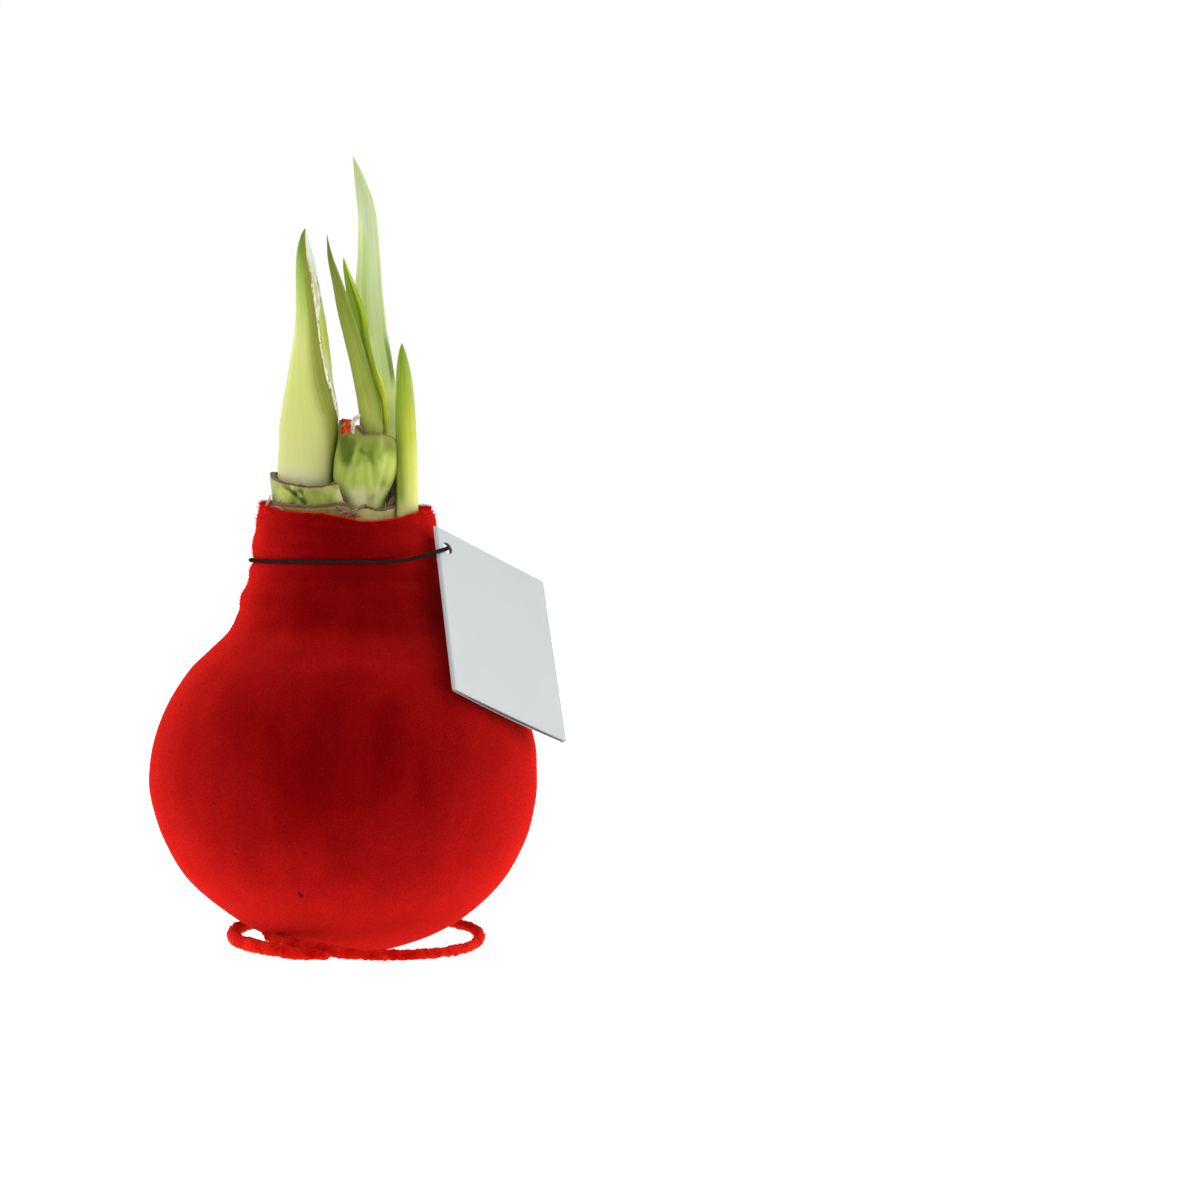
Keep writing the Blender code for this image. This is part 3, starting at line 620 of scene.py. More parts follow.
def coatSculpt(radius, turn, height):
    # where a point of the turned coat goes: belly waves, neck wrinkles, the cord's groove, the rim
    degrees = math.degrees(turn)
    x, y = math.cos(turn), math.sin(turn)
    full = min(radius / coat["bellyRadius"], 1.0) * min(height / coat["bellyFrom"], 1.0)
    stand = full * sum(size * math.sin(count * turn + phase) for count, phase, size in coat["waves"])
    neckFrom, neckRun = coat["neck"]
    neck = share01((height - neckFrom) / neckRun)
    middle, span, least = coat["wrinkledSide"]
    side = neck * (least + (1 - least) * hump(angleApart(degrees, middle), 0, span))
    parts = {"belly": full, "side": side, "neck": neck}
    for seed, (part, size, spread, run) in enumerate(coat["lumps"], 1):
        stand += parts[part] * size * rough(x * spread, y * spread, height / run, seed)
    for size, level, slope, width, middle, span in coat["folds"]:
        stand += size * hump(height + slope * x, level, width) * hump(angleApart(degrees, middle), 0, span)
    top = coat["outline"][-1][1]
    lifted = height
    if height > coat["rimFrom"]:
        share = (height - coat["rimFrom"]) / (top - coat["rimFrom"])
        rim = between(coat["rim"], angleApart(degrees, 0))[0]
        rim += coat["rimRough"] * rough(x * 6, y * 6, 0.0, 4.0)
        lifted = coat["rimFrom"] + share * (rim - coat["rimFrom"])
        stand += coat["lipRough"] * max(share - 0.8, 0) * 5 * rough(x * 7, y * 7, height, 5.0)
    centred = min(radius / coat["centred"], 1.0)
    radius = max(radius + stand * centred, 0.0)
    return Vector((axisShift(height) * min(radius / coat["centred"], 1.0) + radius * x, radius * y, lifted))


def makeCoat():
    piece = spinProfile("velvet_shell", coatProfile(), coat["sides"])
    for corner in piece.data.vertices:
        x, y, z = corner.co / mm
        corner.co = coatSculpt(math.hypot(x, y), math.atan2(y, x), z) * mm
    smoothShade(piece)
    finishPiece(piece, flockMaterial("redVelvet", velvetLook), "velvet", "velvet_coat")
    print("coat", len(piece.data.polygons))
    return piece


coatPiece = makeCoat()


# Bulb: the cut top with its rings of scales, seen in the mouth of the coat

bulb = {
    "shift": 1.9, "top": 106.4, "highest": 106.95, "cutFrom": 103.5, "edge": 19.6, "edgeFoot": 105.2,
    "sides": 120,
    "rings": 6, "ringSteps": 10, "ridge": 0.75, "swell": 0.2, "uneven": 0.35,
}
bulbLook = {
    "span": (95, 108), "stops": ((0.0, (0.42, 0.36, 0.20)), (0.8, (0.50, 0.46, 0.20)), (1.0, (0.40, 0.42, 0.13))),
    "dark": (0.12, 0.055, 0.02), "light": (0.62, 0.58, 0.34), "veins": 60, "veinDepth": 0.3, "mottle": 0.7,
    "rough": 0.5, "glow": 0.1, "mottleScale": 420.0,
}


def makeBulb():
    outline = [point for point in coat["outline"] if point[1] < bulb["cutFrom"]]
    line = smoothLine([(radius - bulb["shift"] * min(height / 4.0, 1.0), max(height, bulb["shift"]), 0)
                       for radius, height, shift in outline], 60)
    profile = [(0.0, bulb["shift"])] + [(point.x, point.y) for point in line]
    profile += [(bulb["edge"] + 0.2, bulb["edgeFoot"]), (bulb["edge"] - 0.2, bulb["top"])]
    steps = bulb["rings"] * bulb["ringSteps"]
    for i in range(1, steps):
        share = i / steps
        saw = (share * bulb["rings"]) % 1.0
        rise = bulb["ridge"] * (saw**3 + 0.25 * math.sin(saw * math.pi)) * (1 - share * 0.5)
        profile.append(((bulb["edge"] - 0.4) * (1 - share), bulb["top"] - 0.3 + rise))
    profile.append((0.0, bulb["top"] - 0.2))
    piece = spinProfile("bulb_body", profile, bulb["sides"])
    for corner in piece.data.vertices:
        x, y, z = corner.co / mm
        if z > bulb["cutFrom"]:
            turn = math.atan2(y, x)
            share = min(math.hypot(x, y) / bulb["edge"], 1.0)
            uneven = rough(math.cos(turn) * 2, math.sin(turn) * 2, share * 5, 6.0)
            swell = 1 + bulb["swell"] * uneven * share * (1 - share)
            z += bulb["uneven"] * rough(x / 3, y / 3, z, 7.0) * (1 - share**4)
            x, y = x * swell, y * swell
        corner.co = Vector((x + axisShift(z), y, min(z, bulb["highest"]))) * mm
    smoothShade(piece, 50)
    finishPiece(piece, plantMaterial("bulbFlesh", bulbLook), "bulb_flesh", "bulb")
    print("bulb", len(piece.data.polygons))


makeBulb()


# Flocked wire ring

wire = {
    "centreX": 1.5, "points": 420,
    "turns": (                                          # degrees, radius, height of the middle
        (257, 31.2, 1.5), (240, 31.4, 1.9), (225, 31.3, 2.7), (200, 30.8, 3.4), (180, 30.6, 4.2),
        (160, 31.0, 5.2),
        (135, 31.6, 5.9), (90, 31.8, 6.6), (45, 31.6, 5.6), (20, 31.2, 4.7), (0, 30.9, 3.6), (-20, 31.0, 2.4),
        (-45, 30.9, 1.6), (-75, 30.6, 1.5), (-95, 29.2, 2.0), (-115, 27.3, 3.1), (-133, 26.2, 4.0),
        (-150, 24.4, 4.7),
    ),
    "bend": 3.0, "bendSteps": 8, "spikeTop": 16.0,      # its inner end, turned up into the bulb
    "flock": (                                          # share of the length, radius of the flocked wire
        (0.0, 0.8), (0.015, 1.2), (0.05, 1.45), (0.12, 1.65), (0.22, 1.45), (0.4, 1.2), (0.62, 1.15),
        (0.72, 1.15),
        (0.85, 1.3), (0.93, 1.45), (1.0, 1.2),
    ),
    "lumps": ((0.42, 1.1), (0.21, 0.5)), "fullness": 0.1, "clearance": 0.02,
}
wireLook = {
    # deep and lit are the two ends of the painted sheen
    "deep": (0.42, 0.003, 0.002), "lit": (0.85, 0.03, 0.015), "shade": (0.16, 0.0, 0.001),
    # the rim colour and its depth give a painted rim highlight
    "speck": (0.50, 0.22, 0.10), "paintedRim": (1.0, 0.25, 0.10), "paintedRimDepth": 0.5,
    "foot": 0.0, "paintedBounceSpan": (-4, 66),
    "blend": 0.5, "curve": 1.0, "patchDepth": 0.4, "grainDepth": 0.45,
    "grain": 2100.0, "patch": 330.0, "specks": 700.0, "sheen": 0.15, "bump": 0.8,
}


def wireLine():
    line = smoothLine(ringLine(wire["turns"], wire["centreX"]), wire["points"])
    along = (line[-1] - line[-2]).normalized()
    along.z = 0.0
    foot = line[-1].copy()
    for step in range(1, wire["bendSteps"] + 1):
        bend = math.pi / 2 * step / wire["bendSteps"]
        line.append(foot + (along * math.sin(bend) + Vector((0, 0, 1 - math.cos(bend)))) * wire["bend"])
    line.append(Vector((line[-1].x, line[-1].y, wire["spikeTop"])))
    return line


def makeWire():
    line = wireLine()
    radii = [between(wire["flock"], min(i / wire["points"], 1.0))[0] for i in range(len(line))]
    piece = threadCurve("wire_flock", line, radii, sides=4)
    normals = [corner.normal.copy() for corner in piece.data.vertices]
    for corner, out in zip(piece.data.vertices, normals):
        place = corner.co / mm
        lump = sum(size * rough(*(place / run), seed) for seed, (size, run) in enumerate(wire["lumps"], 8))
        corner.co += out * (lump + wire["fullness"]) * mm
        corner.co.z = max(corner.co.z, wire["clearance"] * mm)
    smoothShade(piece, 70)
    finishPiece(piece, flockMaterial("redFlock", wireLook), "flocked_wire", "wire_foot")
    print("wire", len(piece.data.polygons))
    return piece


wirePiece = makeWire()


# Flower bud: back valve, front valve and the papery margin between them

bud = {
    "stations": (                                       # height, middle x, middle y, half width, half depth
        (107.2, -11.0, -4.4, 5.4, 4.2), (114.3, -11.1, -4.4, 6.3, 4.9), (118.0, -11.0, -4.4, 6.8, 5.2),
        (122.0, -10.8, -4.5, 7.0, 5.4), (126.4, -10.4, -4.8, 7.1, 5.6), (131.1, -10.2, -5.0, 7.2, 5.7),
        (137.8, -9.8, -5.0, 6.6, 5.3), (142.8, -9.8, -5.0, 5.7, 4.8), (147.8, -9.6, -5.0, 5.0, 4.3),
        (155.2, -9.6, -5.0, 3.9, 3.5), (162.7, -10.1, -5.0, 3.1, 2.8), (170.1, -10.9, -5.0, 2.3, 2.1),
        (175.1, -11.4, -5.0, 1.5, 1.4), (178.8, -11.2, -5.0, 0.75, 0.8), (180.3, -10.9, -5.0, 0.25, 0.3),
    ),
    "edge": (                                           # height, direction of the front valve's right edge
        (107.0, 50), (118.0, 28), (126.0, 12), (133.0, -8), (136.0, -27), (142.8, -45), (149.5, -59),
        (159.3, -66), (165.5, -70), (173.0, -70), (180.3, -80),
    ),
    "backEdge": 186, "lap": 0.5, "lapFoot": 117.0, "lapRun": 8.0, "bareFrom": 134.0,
    "columns": 72, "rows": 110, "crowd": 1.25, "valveWall": 0.42, "marginWall": 0.16,
    "swells": ((0.7, 175, 5), (0.25, 160, 12)),         # size, height, width, where the back valve is bare
    "margin": (                                         # height, direction from and to, how far it stands off
        (132.6, -6, 6, 0.25), (136.0, -30, -15, 0.35), (142.8, -49, -37, 0.3), (149.5, -62, -53, 0.15),
        (155.0, -66, -57, 0.15), (160.0, -69, -46, 0.2), (165.5, -72, -16, 0.3), (170.5, -73, -22, 0.3),
        (174.5, -76, -52, 0.1),
    ),
}
budLook = {
    "span": (106, 181), "stops": (
        (0.0, (0.50, 0.50, 0.36)), (0.14, (0.46, 0.46, 0.24)), (0.24, (0.42, 0.435, 0.15)),
        (0.42, (0.42, 0.45, 0.125)), (0.6, (0.43, 0.48, 0.14)), (0.74, (0.30, 0.385, 0.07)),
        (0.86, (0.17, 0.27, 0.035)), (0.95, (0.07, 0.13, 0.015)),
    ),
    "dark": (0.33, 0.38, 0.07), "light": (0.55, 0.57, 0.27), "veins": 40, "veinDepth": 0.12, "mottle": 0.1,
    "rough": 0.36, "glow": 0.2, "bump": 0.12, "gloss": 0.14,
    # the first band is painted shade down the bud's right side
    "bands": ((0.55, 0.86, (0.15, 0.17, 0.004), 0.97, 100, 190), (0.1, 0.0, (0.30, 0.36, 0.08), 0.4, 140, 190)),
}
budBackLook = {
    **budLook, "stops": (
        (0.0, (0.42, 0.44, 0.2)), (0.3, (0.36, 0.40, 0.10)), (0.45, (0.60, 0.64, 0.36)),
        (0.62, (0.42, 0.48, 0.06)),
        (0.76, (0.44, 0.50, 0.14)), (0.85, (0.50, 0.56, 0.42)), (1.0, (0.50, 0.58, 0.48)),
    ),
    "bands": tuple(
        (start, end, (0.42, 0.46, 0.13), 0.8, 100, 190) for start, end in ((0.84, 0.94), (0.35, 0.15))
    ),
}
marginLook = {
    "span": (130, 180),
    "stops": ((0.0, (0.62, 0.55, 0.42)), (0.25, (0.74, 0.73, 0.62)), (1.0, (0.50, 0.50, 0.36))),
    "dark": (0.28, 0.20, 0.09), "light": (0.9, 0.9, 0.84), "veins": 3, "veinDepth": 0.4, "mottle": 0.5,
    "mottleScale": 900.0, "rough": 0.5, "glow": 0.0, "spots": (0.56, (0.20, 0.12, 0.04)),
}


def budPoint(turn, height, stand):
    x, y, half, deep = between(bud["stations"], height)
    stand *= min(1.0, half / 2.0)
    return Vector((x + (half + stand) * math.cos(turn), y + (deep + stand) * math.sin(turn), height))


def budLevel(v):
    foot, tip = bud["stations"][0][0], bud["stations"][-1][0]
    return tip - (tip - foot) * (1 - v) ** bud["crowd"]


def budLap(height):
    return bud["lap"] * share01((height - bud["lapFoot"]) / bud["lapRun"])


def budBackPoint(u, v):
    # under the front valve it stands back by the lap, beyond that valve's right edge it is full
    height = budLevel(v)
    turn = math.tau * u + math.pi / 2
    beyond = (math.degrees(turn) - 360 - between(bud["edge"], height)[0] - 3) / 12
    bare = share01(beyond) if height > bud["bareFrom"] else 0.0
    swell = sum(size * hump(height, middle, run) for size, middle, run in bud["swells"])
    return budPoint(turn, height, (bare - 1) * (budLap(height) + 0.06) + bare * swell)


def makeBud():
    core = makeSheet("bud_back_valve", bud["columns"], bud["rows"], budBackPoint)
    closeSeam(core, fill=True)
    smoothShade(core, 50)
    finishPiece(core, plantMaterial("budBack", budBackLook), "bud_skin")

    def valvePoint(u, v):
        height = budLevel(v)
        start = math.radians(bud["backEdge"])
        end = math.radians(360 + between(bud["edge"], height)[0])
        turn = start + (end - start) * u
        lift = 0.22 * hump(u, 1.0, 0.05) + 0.1 * hump(u, 0.0, 0.05)
        lift *= 1 + 0.8 * rough(0, u * 3, height / 6.0, 10.0)
        groove = 0.03 * math.sin(u * 38) * min(1.0, (1 - v) * 3)
        return budPoint(turn, height, lift * min(1.0, budLap(height) * 2.2) + groove)

    valve = makeSheet("bud_front_valve", bud["columns"], bud["rows"], valvePoint)
    giveBody(valve, bud["valveWall"], thinEdge=0.5)
    smoothShade(valve, 50)
    finishPiece(valve, plantMaterial("budFront", budLook), "bud_skin", "flower_bud")

    def marginPoint(u, v):
        low, high = bud["margin"][0][0], bud["margin"][-1][0]
        height = low + (high - low) * v
        start, end, stand = between(bud["margin"], height)
        ragged = 1 + 0.3 * rough(0, 0, height / 1.6, 11.0) * u
        turn = math.radians(start + (end - start) * u * ragged)
        out = -0.05 + (stand + 0.05 + 0.15 * rough(0, 0, height / 3.0, 12.0)) * u
        return budPoint(turn, height, out)

    margin = makeSheet("bud_margin", 8, 90, marginPoint)
    giveBody(margin, bud["marginWall"], offset=0.0)
    smoothShade(margin)
    finishPiece(margin, plantMaterial("budMargin", marginLook), "bud_skin")
    print("bud made")


makeBud()


# Leaves: channelled blades that narrow to their tips

leafCrowd = 1.3                     # how much closer the rows stand at the tip

leaves = {
    "leaf_front": {
        "thick": 1.0, "columns": 18, "rows": 70, "wave": 0.12, "groove": 0.16,
        "stations": (                                   # height, middle x, y, half width, half angle, facing
            (121.5, 4.7, -7.9, 2.6, 40, -106), (129.8, 5.4, -7.9, 3.1, 42, -106),
            (136.0, 4.8, -8.1, 2.8, 44, -106),
            (144.2, 3.0, -8.0, 2.4, 46, -106), (152.7, 0.8, -7.9, 2.15, 48, -106),
            (159.9, -1.2, -7.9, 1.85, 48, -106), (166.9, -3.0, -7.9, 1.25, 45, -106),
            (173.9, -4.8, -8.0, 0.6, 40, -106), (178.7, -5.5, -8.0, 0.06, 30, -106),
        ),
        "look": {
            "span": (120, 179), "stops": (
                (0.0, (0.30, 0.33, 0.08)), (0.3, (0.215, 0.245, 0.035)), (0.65, (0.135, 0.165, 0.014)),
                (1.0, (0.06, 0.075, 0.012)),
            ),
            "dark": (0.10, 0.13, 0.01), "light": (0.33, 0.37, 0.08), "veins": 15, "veinDepth": 0.2, "mottle": 0.2,
            "margin": (0.07, (0.13, 0.05, 0.03), 0.9), "rough": 0.42,
            "bands": ((0.62, 1.0, (0.10, 0.17, 0.015), 0.75, 132, 190),),
        },
    },
    "leaf_middle": {
        "thick": 0.9, "columns": 18, "rows": 70, "wave": 0.15, "groove": 0.45,
        "stations": (
            (121.5, 5.7, -5.0, 2.0, 50, 70), (125.5, 6.3, -5.1, 2.4, 52, 70), (129.5, 7.1, -5.2, 2.8, 54, 70),
            (136.0, 6.8, -5.2, 2.9, 56, 70), (142.7, 5.3, -5.1, 2.5, 58, 70), (152.7, 3.0, -5.0, 2.3, 58, 70),
            (158.9, 2.3, -5.0, 2.1, 56, 70), (164.6, 0.8, -5.0, 1.5, 52, 70), (170.1, -0.8, -5.0, 0.75, 44, 70),
            (173.1, -1.4, -5.0, 0.06, 30, 70),
        ),
        "look": {
            "span": (120, 173), "stops": (
                (0.0, (0.85, 0.92, 0.07)), (0.3, (0.75, 0.86, 0.05)), (0.45, (0.36, 0.47, 0.025)),
                (0.65, (0.23, 0.34, 0.015)), (1.0, (0.15, 0.19, 0.02)),
            ),
            "dark": (0.07, 0.13, 0.01), "light": (0.34, 0.46, 0.05), "veins": 13, "veinDepth": 0.25,
            "mottle": 0.25,
            "margin": (0.03, (0.15, 0.08, 0.03), 0.6), "spots": (0.72, (0.15, 0.05, 0.04)),
            "bands": (
                (0.60, 0.46, (0.10, 0.18, 0.008), 0.75, 143, 190),
                (0.36, 0.2, (0.48, 0.60, 0.035), 0.9, 141, 190),
                # the last band is painted light low on the leaf, in the shade of the front leaf
                (0.30, 0.27, (0.24, 0.34, 0.015), 0.8, 126, 142), (0.2, 0.16, (0.85, 0.9, 0.07), 0.9, 118, 142),
            ),
        },
    },
    "leaf_inner": {
        "thick": 0.8, "columns": 14, "rows": 50, "wave": 0.1, "groove": 0.2,
        "stations": (
            (121.5, 5.6, -3.0, 1.2, 30, 60), (129.6, 7.8, -3.0, 1.9, 34, 60), (139.1, 7.6, -3.2, 1.9, 36, 60),
            (146.1, 5.9, -3.4, 0.9, 34, 60), (149.2, 5.0, -3.6, 0.08, 30, 60),
        ),
        "look": {
            "span": (120, 151),
            "stops": ((0.0, (0.88, 0.94, 0.10)), (0.6, (0.80, 0.90, 0.06)), (1.0, (0.46, 0.58, 0.03))),
            "dark": (0.46, 0.56, 0.03), "light": (0.75, 0.80, 0.14), "veins": 4, "veinDepth": 0.7, "mottle": 0.15,
        },
    },
    "leaf_tall": {
        "thick": 1.2, "columns": 26, "rows": 90, "wave": 0.14, "groove": 0.4,
        "stations": (
            (121.5, 5.7, -1.6, 2.6, 54, 60), (126.2, 7.2, -1.5, 4.0, 56, 60), (130.7, 8.4, -0.5, 5.2, 57, 60),
            (137.9, 8.2, 0.3, 5.4, 58, 57), (147.9, 7.2, 0.8, 4.8, 58, 54), (155.3, 6.3, 0.9, 4.4, 56, 54),
            (165.3, 5.4, 1.0, 4.1, 54, 54), (174.1, 5.2, 0.9, 3.3, 50, 54), (185.3, 4.5, 0.7, 2.6, 46, 54),
            (193.3, 2.6, 0.4, 1.45, 40, 54), (198.5, 1.0, 0.2, 0.08, 30, 54),
        ),
        "look": {
            "span": (120, 199), "stops": (
                (0.0, (0.72, 0.77, 0.38)), (0.25, (0.62, 0.70, 0.34)), (0.5, (0.52, 0.60, 0.30)),
                (0.75, (0.39, 0.435, 0.265)), (1.0, (0.26, 0.31, 0.13)),
            ),
            "dark": (0.33, 0.42, 0.14), "light": (0.66, 0.71, 0.50), "veins": 17, "veinDepth": 0.2,
            "mottle": 0.12,
            "rough": 0.42, "bump": 0.2, "glow": 0.08,
            "bands": (
                # the second band is painted shade on the turned-back right margin; the last band is painted light
                # low on the right, where the other leaves shade it
                (0.2, 0.06, (0.34, 0.42, 0.19), 0.7, 150, 200), (0.26, 0.14, (0.13, 0.20, 0.012), 1.0, 137, 153),
                (0.60, 0.72, (0.32, 0.41, 0.07), 0.6, 154, 180), (0.78, 0.88, (0.50, 0.56, 0.28), 0.7, 150, 184),
                (0.5, 0.36, (0.95, 1.0, 0.55), 0.9, 116, 142),
            ),
        },
    },
    "leaf_right": {
        "thick": 2.3, "columns": 22, "rows": 70, "wave": 0.08, "groove": 0.1,
        "stations": (
            (107.2, 14.6, -5.2, 3.0, 56, -52), (119.1, 14.4, -5.2, 2.85, 56, -52),
            (129.0, 14.2, -5.2, 2.8, 56, -52),
            (139.0, 13.8, -5.3, 2.5, 52, -52), (146.0, 13.3, -5.4, 1.75, 46, -52),
            (150.0, 13.05, -5.5, 0.85, 40, -52),
            (151.9, 13.0, -5.6, 0.1, 30, -52),
        ),
        "look": {
            "span": (106, 152), "stops": (
                (0.0, (0.62, 0.63, 0.30)), (0.2, (0.50, 0.52, 0.11)), (0.5, (0.34, 0.37, 0.022)),
                (0.75, (0.22, 0.29, 0.016)), (1.0, (0.12, 0.19, 0.012)),
            ),
            "dark": (0.17, 0.24, 0.01), "light": (0.55, 0.58, 0.14), "veins": 17, "veinDepth": 0.16,
            "mottle": 0.12,
            "bands": ((0.42, 0.15, (0.10, 0.19, 0.004), 0.8, 112, 190),
                      (0.1, 0.02, (0.36, 0.44, 0.11), 0.7, 138, 152)),
            "rough": 0.34, "glow": 0.18, "bump": 0.2, "gloss": 0.12,
        },
    },
}


def makeLeaf(name, leaf, seed):
    foot, tip = leaf["stations"][0][0], leaf["stations"][-1][0]

    def leafPoint(u, v):
        height = tip - (tip - foot) * (1 - v) ** leafCrowd
        x, y, half, angle, facing = between(leaf["stations"], height)
        angle, facing = math.radians(angle), math.radians(facing)
        out = Vector((math.cos(facing), math.sin(facing), 0))
        across = Vector((-out.y, out.x, 0))
        bow = half / math.sin(angle)
        turn = (2 * u - 1) * angle
        middle = Vector((x, y, height)) + out * bow * (1 - math.cos(angle)) / 2
        point = middle + across * bow * math.sin(turn) - out * bow * (1 - math.cos(turn))
        point += out * leaf["groove"] * hump(u, 0.5, 0.10) * min(1.0, half / 4.0) ** 3
        edge = abs(2 * u - 1) ** 4
        point += out * edge * leaf["wave"] * 2.0 * rough(u * 2, height / 9.0, 0, seed)
        point += across * leaf["wave"] * 0.8 * rough(0, height / 7.0, u, seed + 1)
        return point

    piece = makeSheet(name + "_blade", leaf["columns"], leaf["rows"], leafPoint)
    giveBody(piece, leaf["thick"], offset=0.0, thinEdge=0.1, levels=1)
    smoothShade(piece)
    finishPiece(piece, plantMaterial(name + "Green", leaf["look"]), name + "_skin", name)
    print(name, len(piece.data.polygons))


for seed, (name, leaf) in enumerate(leaves.items()):
    makeLeaf(name, leaf, 20 + seed)


# Leaf sheath: a creased cup round the leaves, cut and dried along its rim

sheath = {
    "foot": 107.2, "wall": 0.8, "columns": 110, "rows": 46,
    "rimRough": 0.22, "waves": (4, 0.12), "uneven": 0.15, "drawnIn": 0.3, "drawnFrom": 0.94,
    "foldFoot": (4.0, 8.0),                             # how far above its foot the folds begin, their run-in
    "stations": (                                       # height, middle x, middle y, half width, half depth
        (107.2, 4.2, -5.0, 4.4, 5.0), (112.6, 3.8, -5.2, 5.1, 5.8), (115.8, 3.4, -5.4, 6.8, 7.1),
        (118.4, 3.65, -5.5, 7.65, 7.7), (121.5, 4.1, -5.4, 7.9, 7.9), (124.5, 4.35, -5.2, 7.75, 7.9),
        (127.5, 4.6, -4.9, 7.3, 7.6), (130.1, 4.7, -4.7, 6.8, 7.3),
    ),
    "rim": (                                            # direction, height
        (-180, 132.9), (-165, 133.2), (-150, 132.8), (-136, 133.1), (-127, 132.4), (-118, 131.0), (-110, 129.9),
        (-100, 129.2), (-90, 129.3), (-60, 129.5), (-40, 129.1), (-20, 128.2), (0, 127.3), (60, 126.1),
        (120, 129.9),
        (150, 132.6), (180, 132.9),
    ),
    "folds": (                                          # direction, width in degrees, height of the fold
        (-78, 11, 0.55), (-105, 11, -0.6), (-50, 11, -0.4), (-25, 12, 0.3), (180, 12, -0.7), (-158, 12, 0.5),
        (150, 12, 2.0), (-66, 5, 0.25),
    ),
    "dents": (                          # direction, its change per mm of height, height, width, span, depth
        (-122, 1.8, 125.0, 9, 3.4, -0.8), (-70, -4.5, 123.4, 6, 2.4, -0.75), (-86, 2.0, 118.5, 5, 3.2, -0.35),
        (-96, 1.5, 126.0, 8, 2.0, 0.35), (-48, 0.5, 119.5, 6, 4.0, -0.5), (-60, 0.5, 118.0, 5, 4.0, 0.3),
    ),
}
sheathLook = {
    "span": (107, 133), "stops": (
        (0.0, (0.50, 0.47, 0.27)), (0.2, (0.52, 0.53, 0.24)), (0.42, (0.27, 0.325, 0.05)),
        (0.65, (0.145, 0.195, 0.014)), (1.0, (0.075, 0.11, 0.008)),
    ),
    "dark": (0.10, 0.16, 0.015), "light": (0.60, 0.64, 0.28), "veins": 40, "veinDepth": 0.14, "mottle": 0.6,
    "mottleScale": 170.0, "rough": 0.42, "glow": 0.1, "bump": 0.25, "gloss": 0.07,
    "rim": (0.972, 0.016, (0.09, 0.04, 0.02), (0.30, 0.28, 0.09)),
    "patches": (
        # the patches at x 9.3 and 8.2 are painted light on the sheath's right side
        ((9.3, -10.0, 121.0), 4.6, (0.42, 0.47, 0.11), 0.75), ((3.2, -12.8, 119.6), 3.2, (0.30, 0.37, 0.06), 0.7),
        ((2.2, -11.6, 113.4), 3.6, (0.56, 0.56, 0.30), 0.8), ((8.2, -10.5, 114.0), 3.0, (0.50, 0.52, 0.20), 0.6),
    ),
    "shadingLines": (
        # the dark lines are painted shade in dents and creases, the paler ones painted highlights on ridges
        ((-1.5, -9.9, 127.8), (-0.6, -10.9, 123.2), 2.6, (0.045, 0.075, 0.005), 0.85),
        ((0.7, -11.0, 127.4), (0.3, -11.2, 124.6), 1.6, (0.05, 0.085, 0.006), 0.7),
        ((2.4, -12.1, 125.6), (6.1, -13.2, 123.3), 1.0, (0.07, 0.11, 0.008), 0.85),
        ((5.4, -13.2, 124.6), (5.7, -13.3, 122.4), 1.0, (0.08, 0.125, 0.01), 0.7),
        ((2.4, -12.0, 128.3), (1.3, -11.8, 122.9), 1.1, (0.24, 0.31, 0.05), 0.5),
        ((7.8, -12.0, 127.4), (6.7, -12.9, 123.4), 1.6, (0.28, 0.35, 0.06), 0.45),
        ((4.9, -13.4, 121.9), (5.6, -13.2, 112.9), 0.9, (0.46, 0.52, 0.15), 0.35),
        ((4.0, -13.4, 121.4), (4.6, -13.2, 113.4), 1.3, (0.22, 0.29, 0.04), 0.45),
    ),
    "flock": ((-1.3, -8.8, 132.2), 4.3, (0.38, 0.008, 0.006)),      # middle, radius and colour, on its left lobe
}


def sheathPoint(u, v):
    degrees = 90 + 360 * u
    turn = math.radians(degrees)
    top = between(sheath["rim"], angleApart(degrees, 0))[0]
    top += sheath["rimRough"] * rough(math.cos(turn) * 5, math.sin(turn) * 5, 0, 30.0)
    height = sheath["foot"] + (top - sheath["foot"]) * v
    x, y, half, deep = between(sheath["stations"], height)
    count, size = sheath["waves"]
    stand = size * math.sin(count * turn)
    for middle, width, size in sheath["folds"]:
        stand += size * hump(angleApart(degrees, middle), 0, width)
    start, run = sheath["foldFoot"]
    stand *= share01((height - sheath["foot"] - start) / run)
    for middle, lean, level, width, span, size in sheath["dents"]:
        apart = angleApart(degrees, middle + lean * (height - level))
        stand += size * hump(apart, 0, width) * hump(height, level, span)
    stand += sheath["uneven"] * rough(math.cos(turn) * 3, math.sin(turn) * 3, height / 5.0, 31.0)
    stand -= sheath["drawnIn"] * max(v - sheath["drawnFrom"], 0) / 0.06
    return Vector((x + (half + stand) * math.cos(turn), y + (deep + stand) * math.sin(turn), height))


def makeSheath():
    piece = makeSheet("sheath_cup", sheath["columns"], sheath["rows"], sheathPoint)
    closeSeam(piece)
    giveBody(piece, sheath["wall"])
    smoothShade(piece)
    finishPiece(piece, plantMaterial("sheathGreen", sheathLook), "sheath_skin", "leaf_sheath")
    print("sheath", len(piece.data.polygons))


makeSheath()


# Cut scales in the mouth of the coat

scaleFoot = 107.2                   # where the scales stand on the bulb's cut top

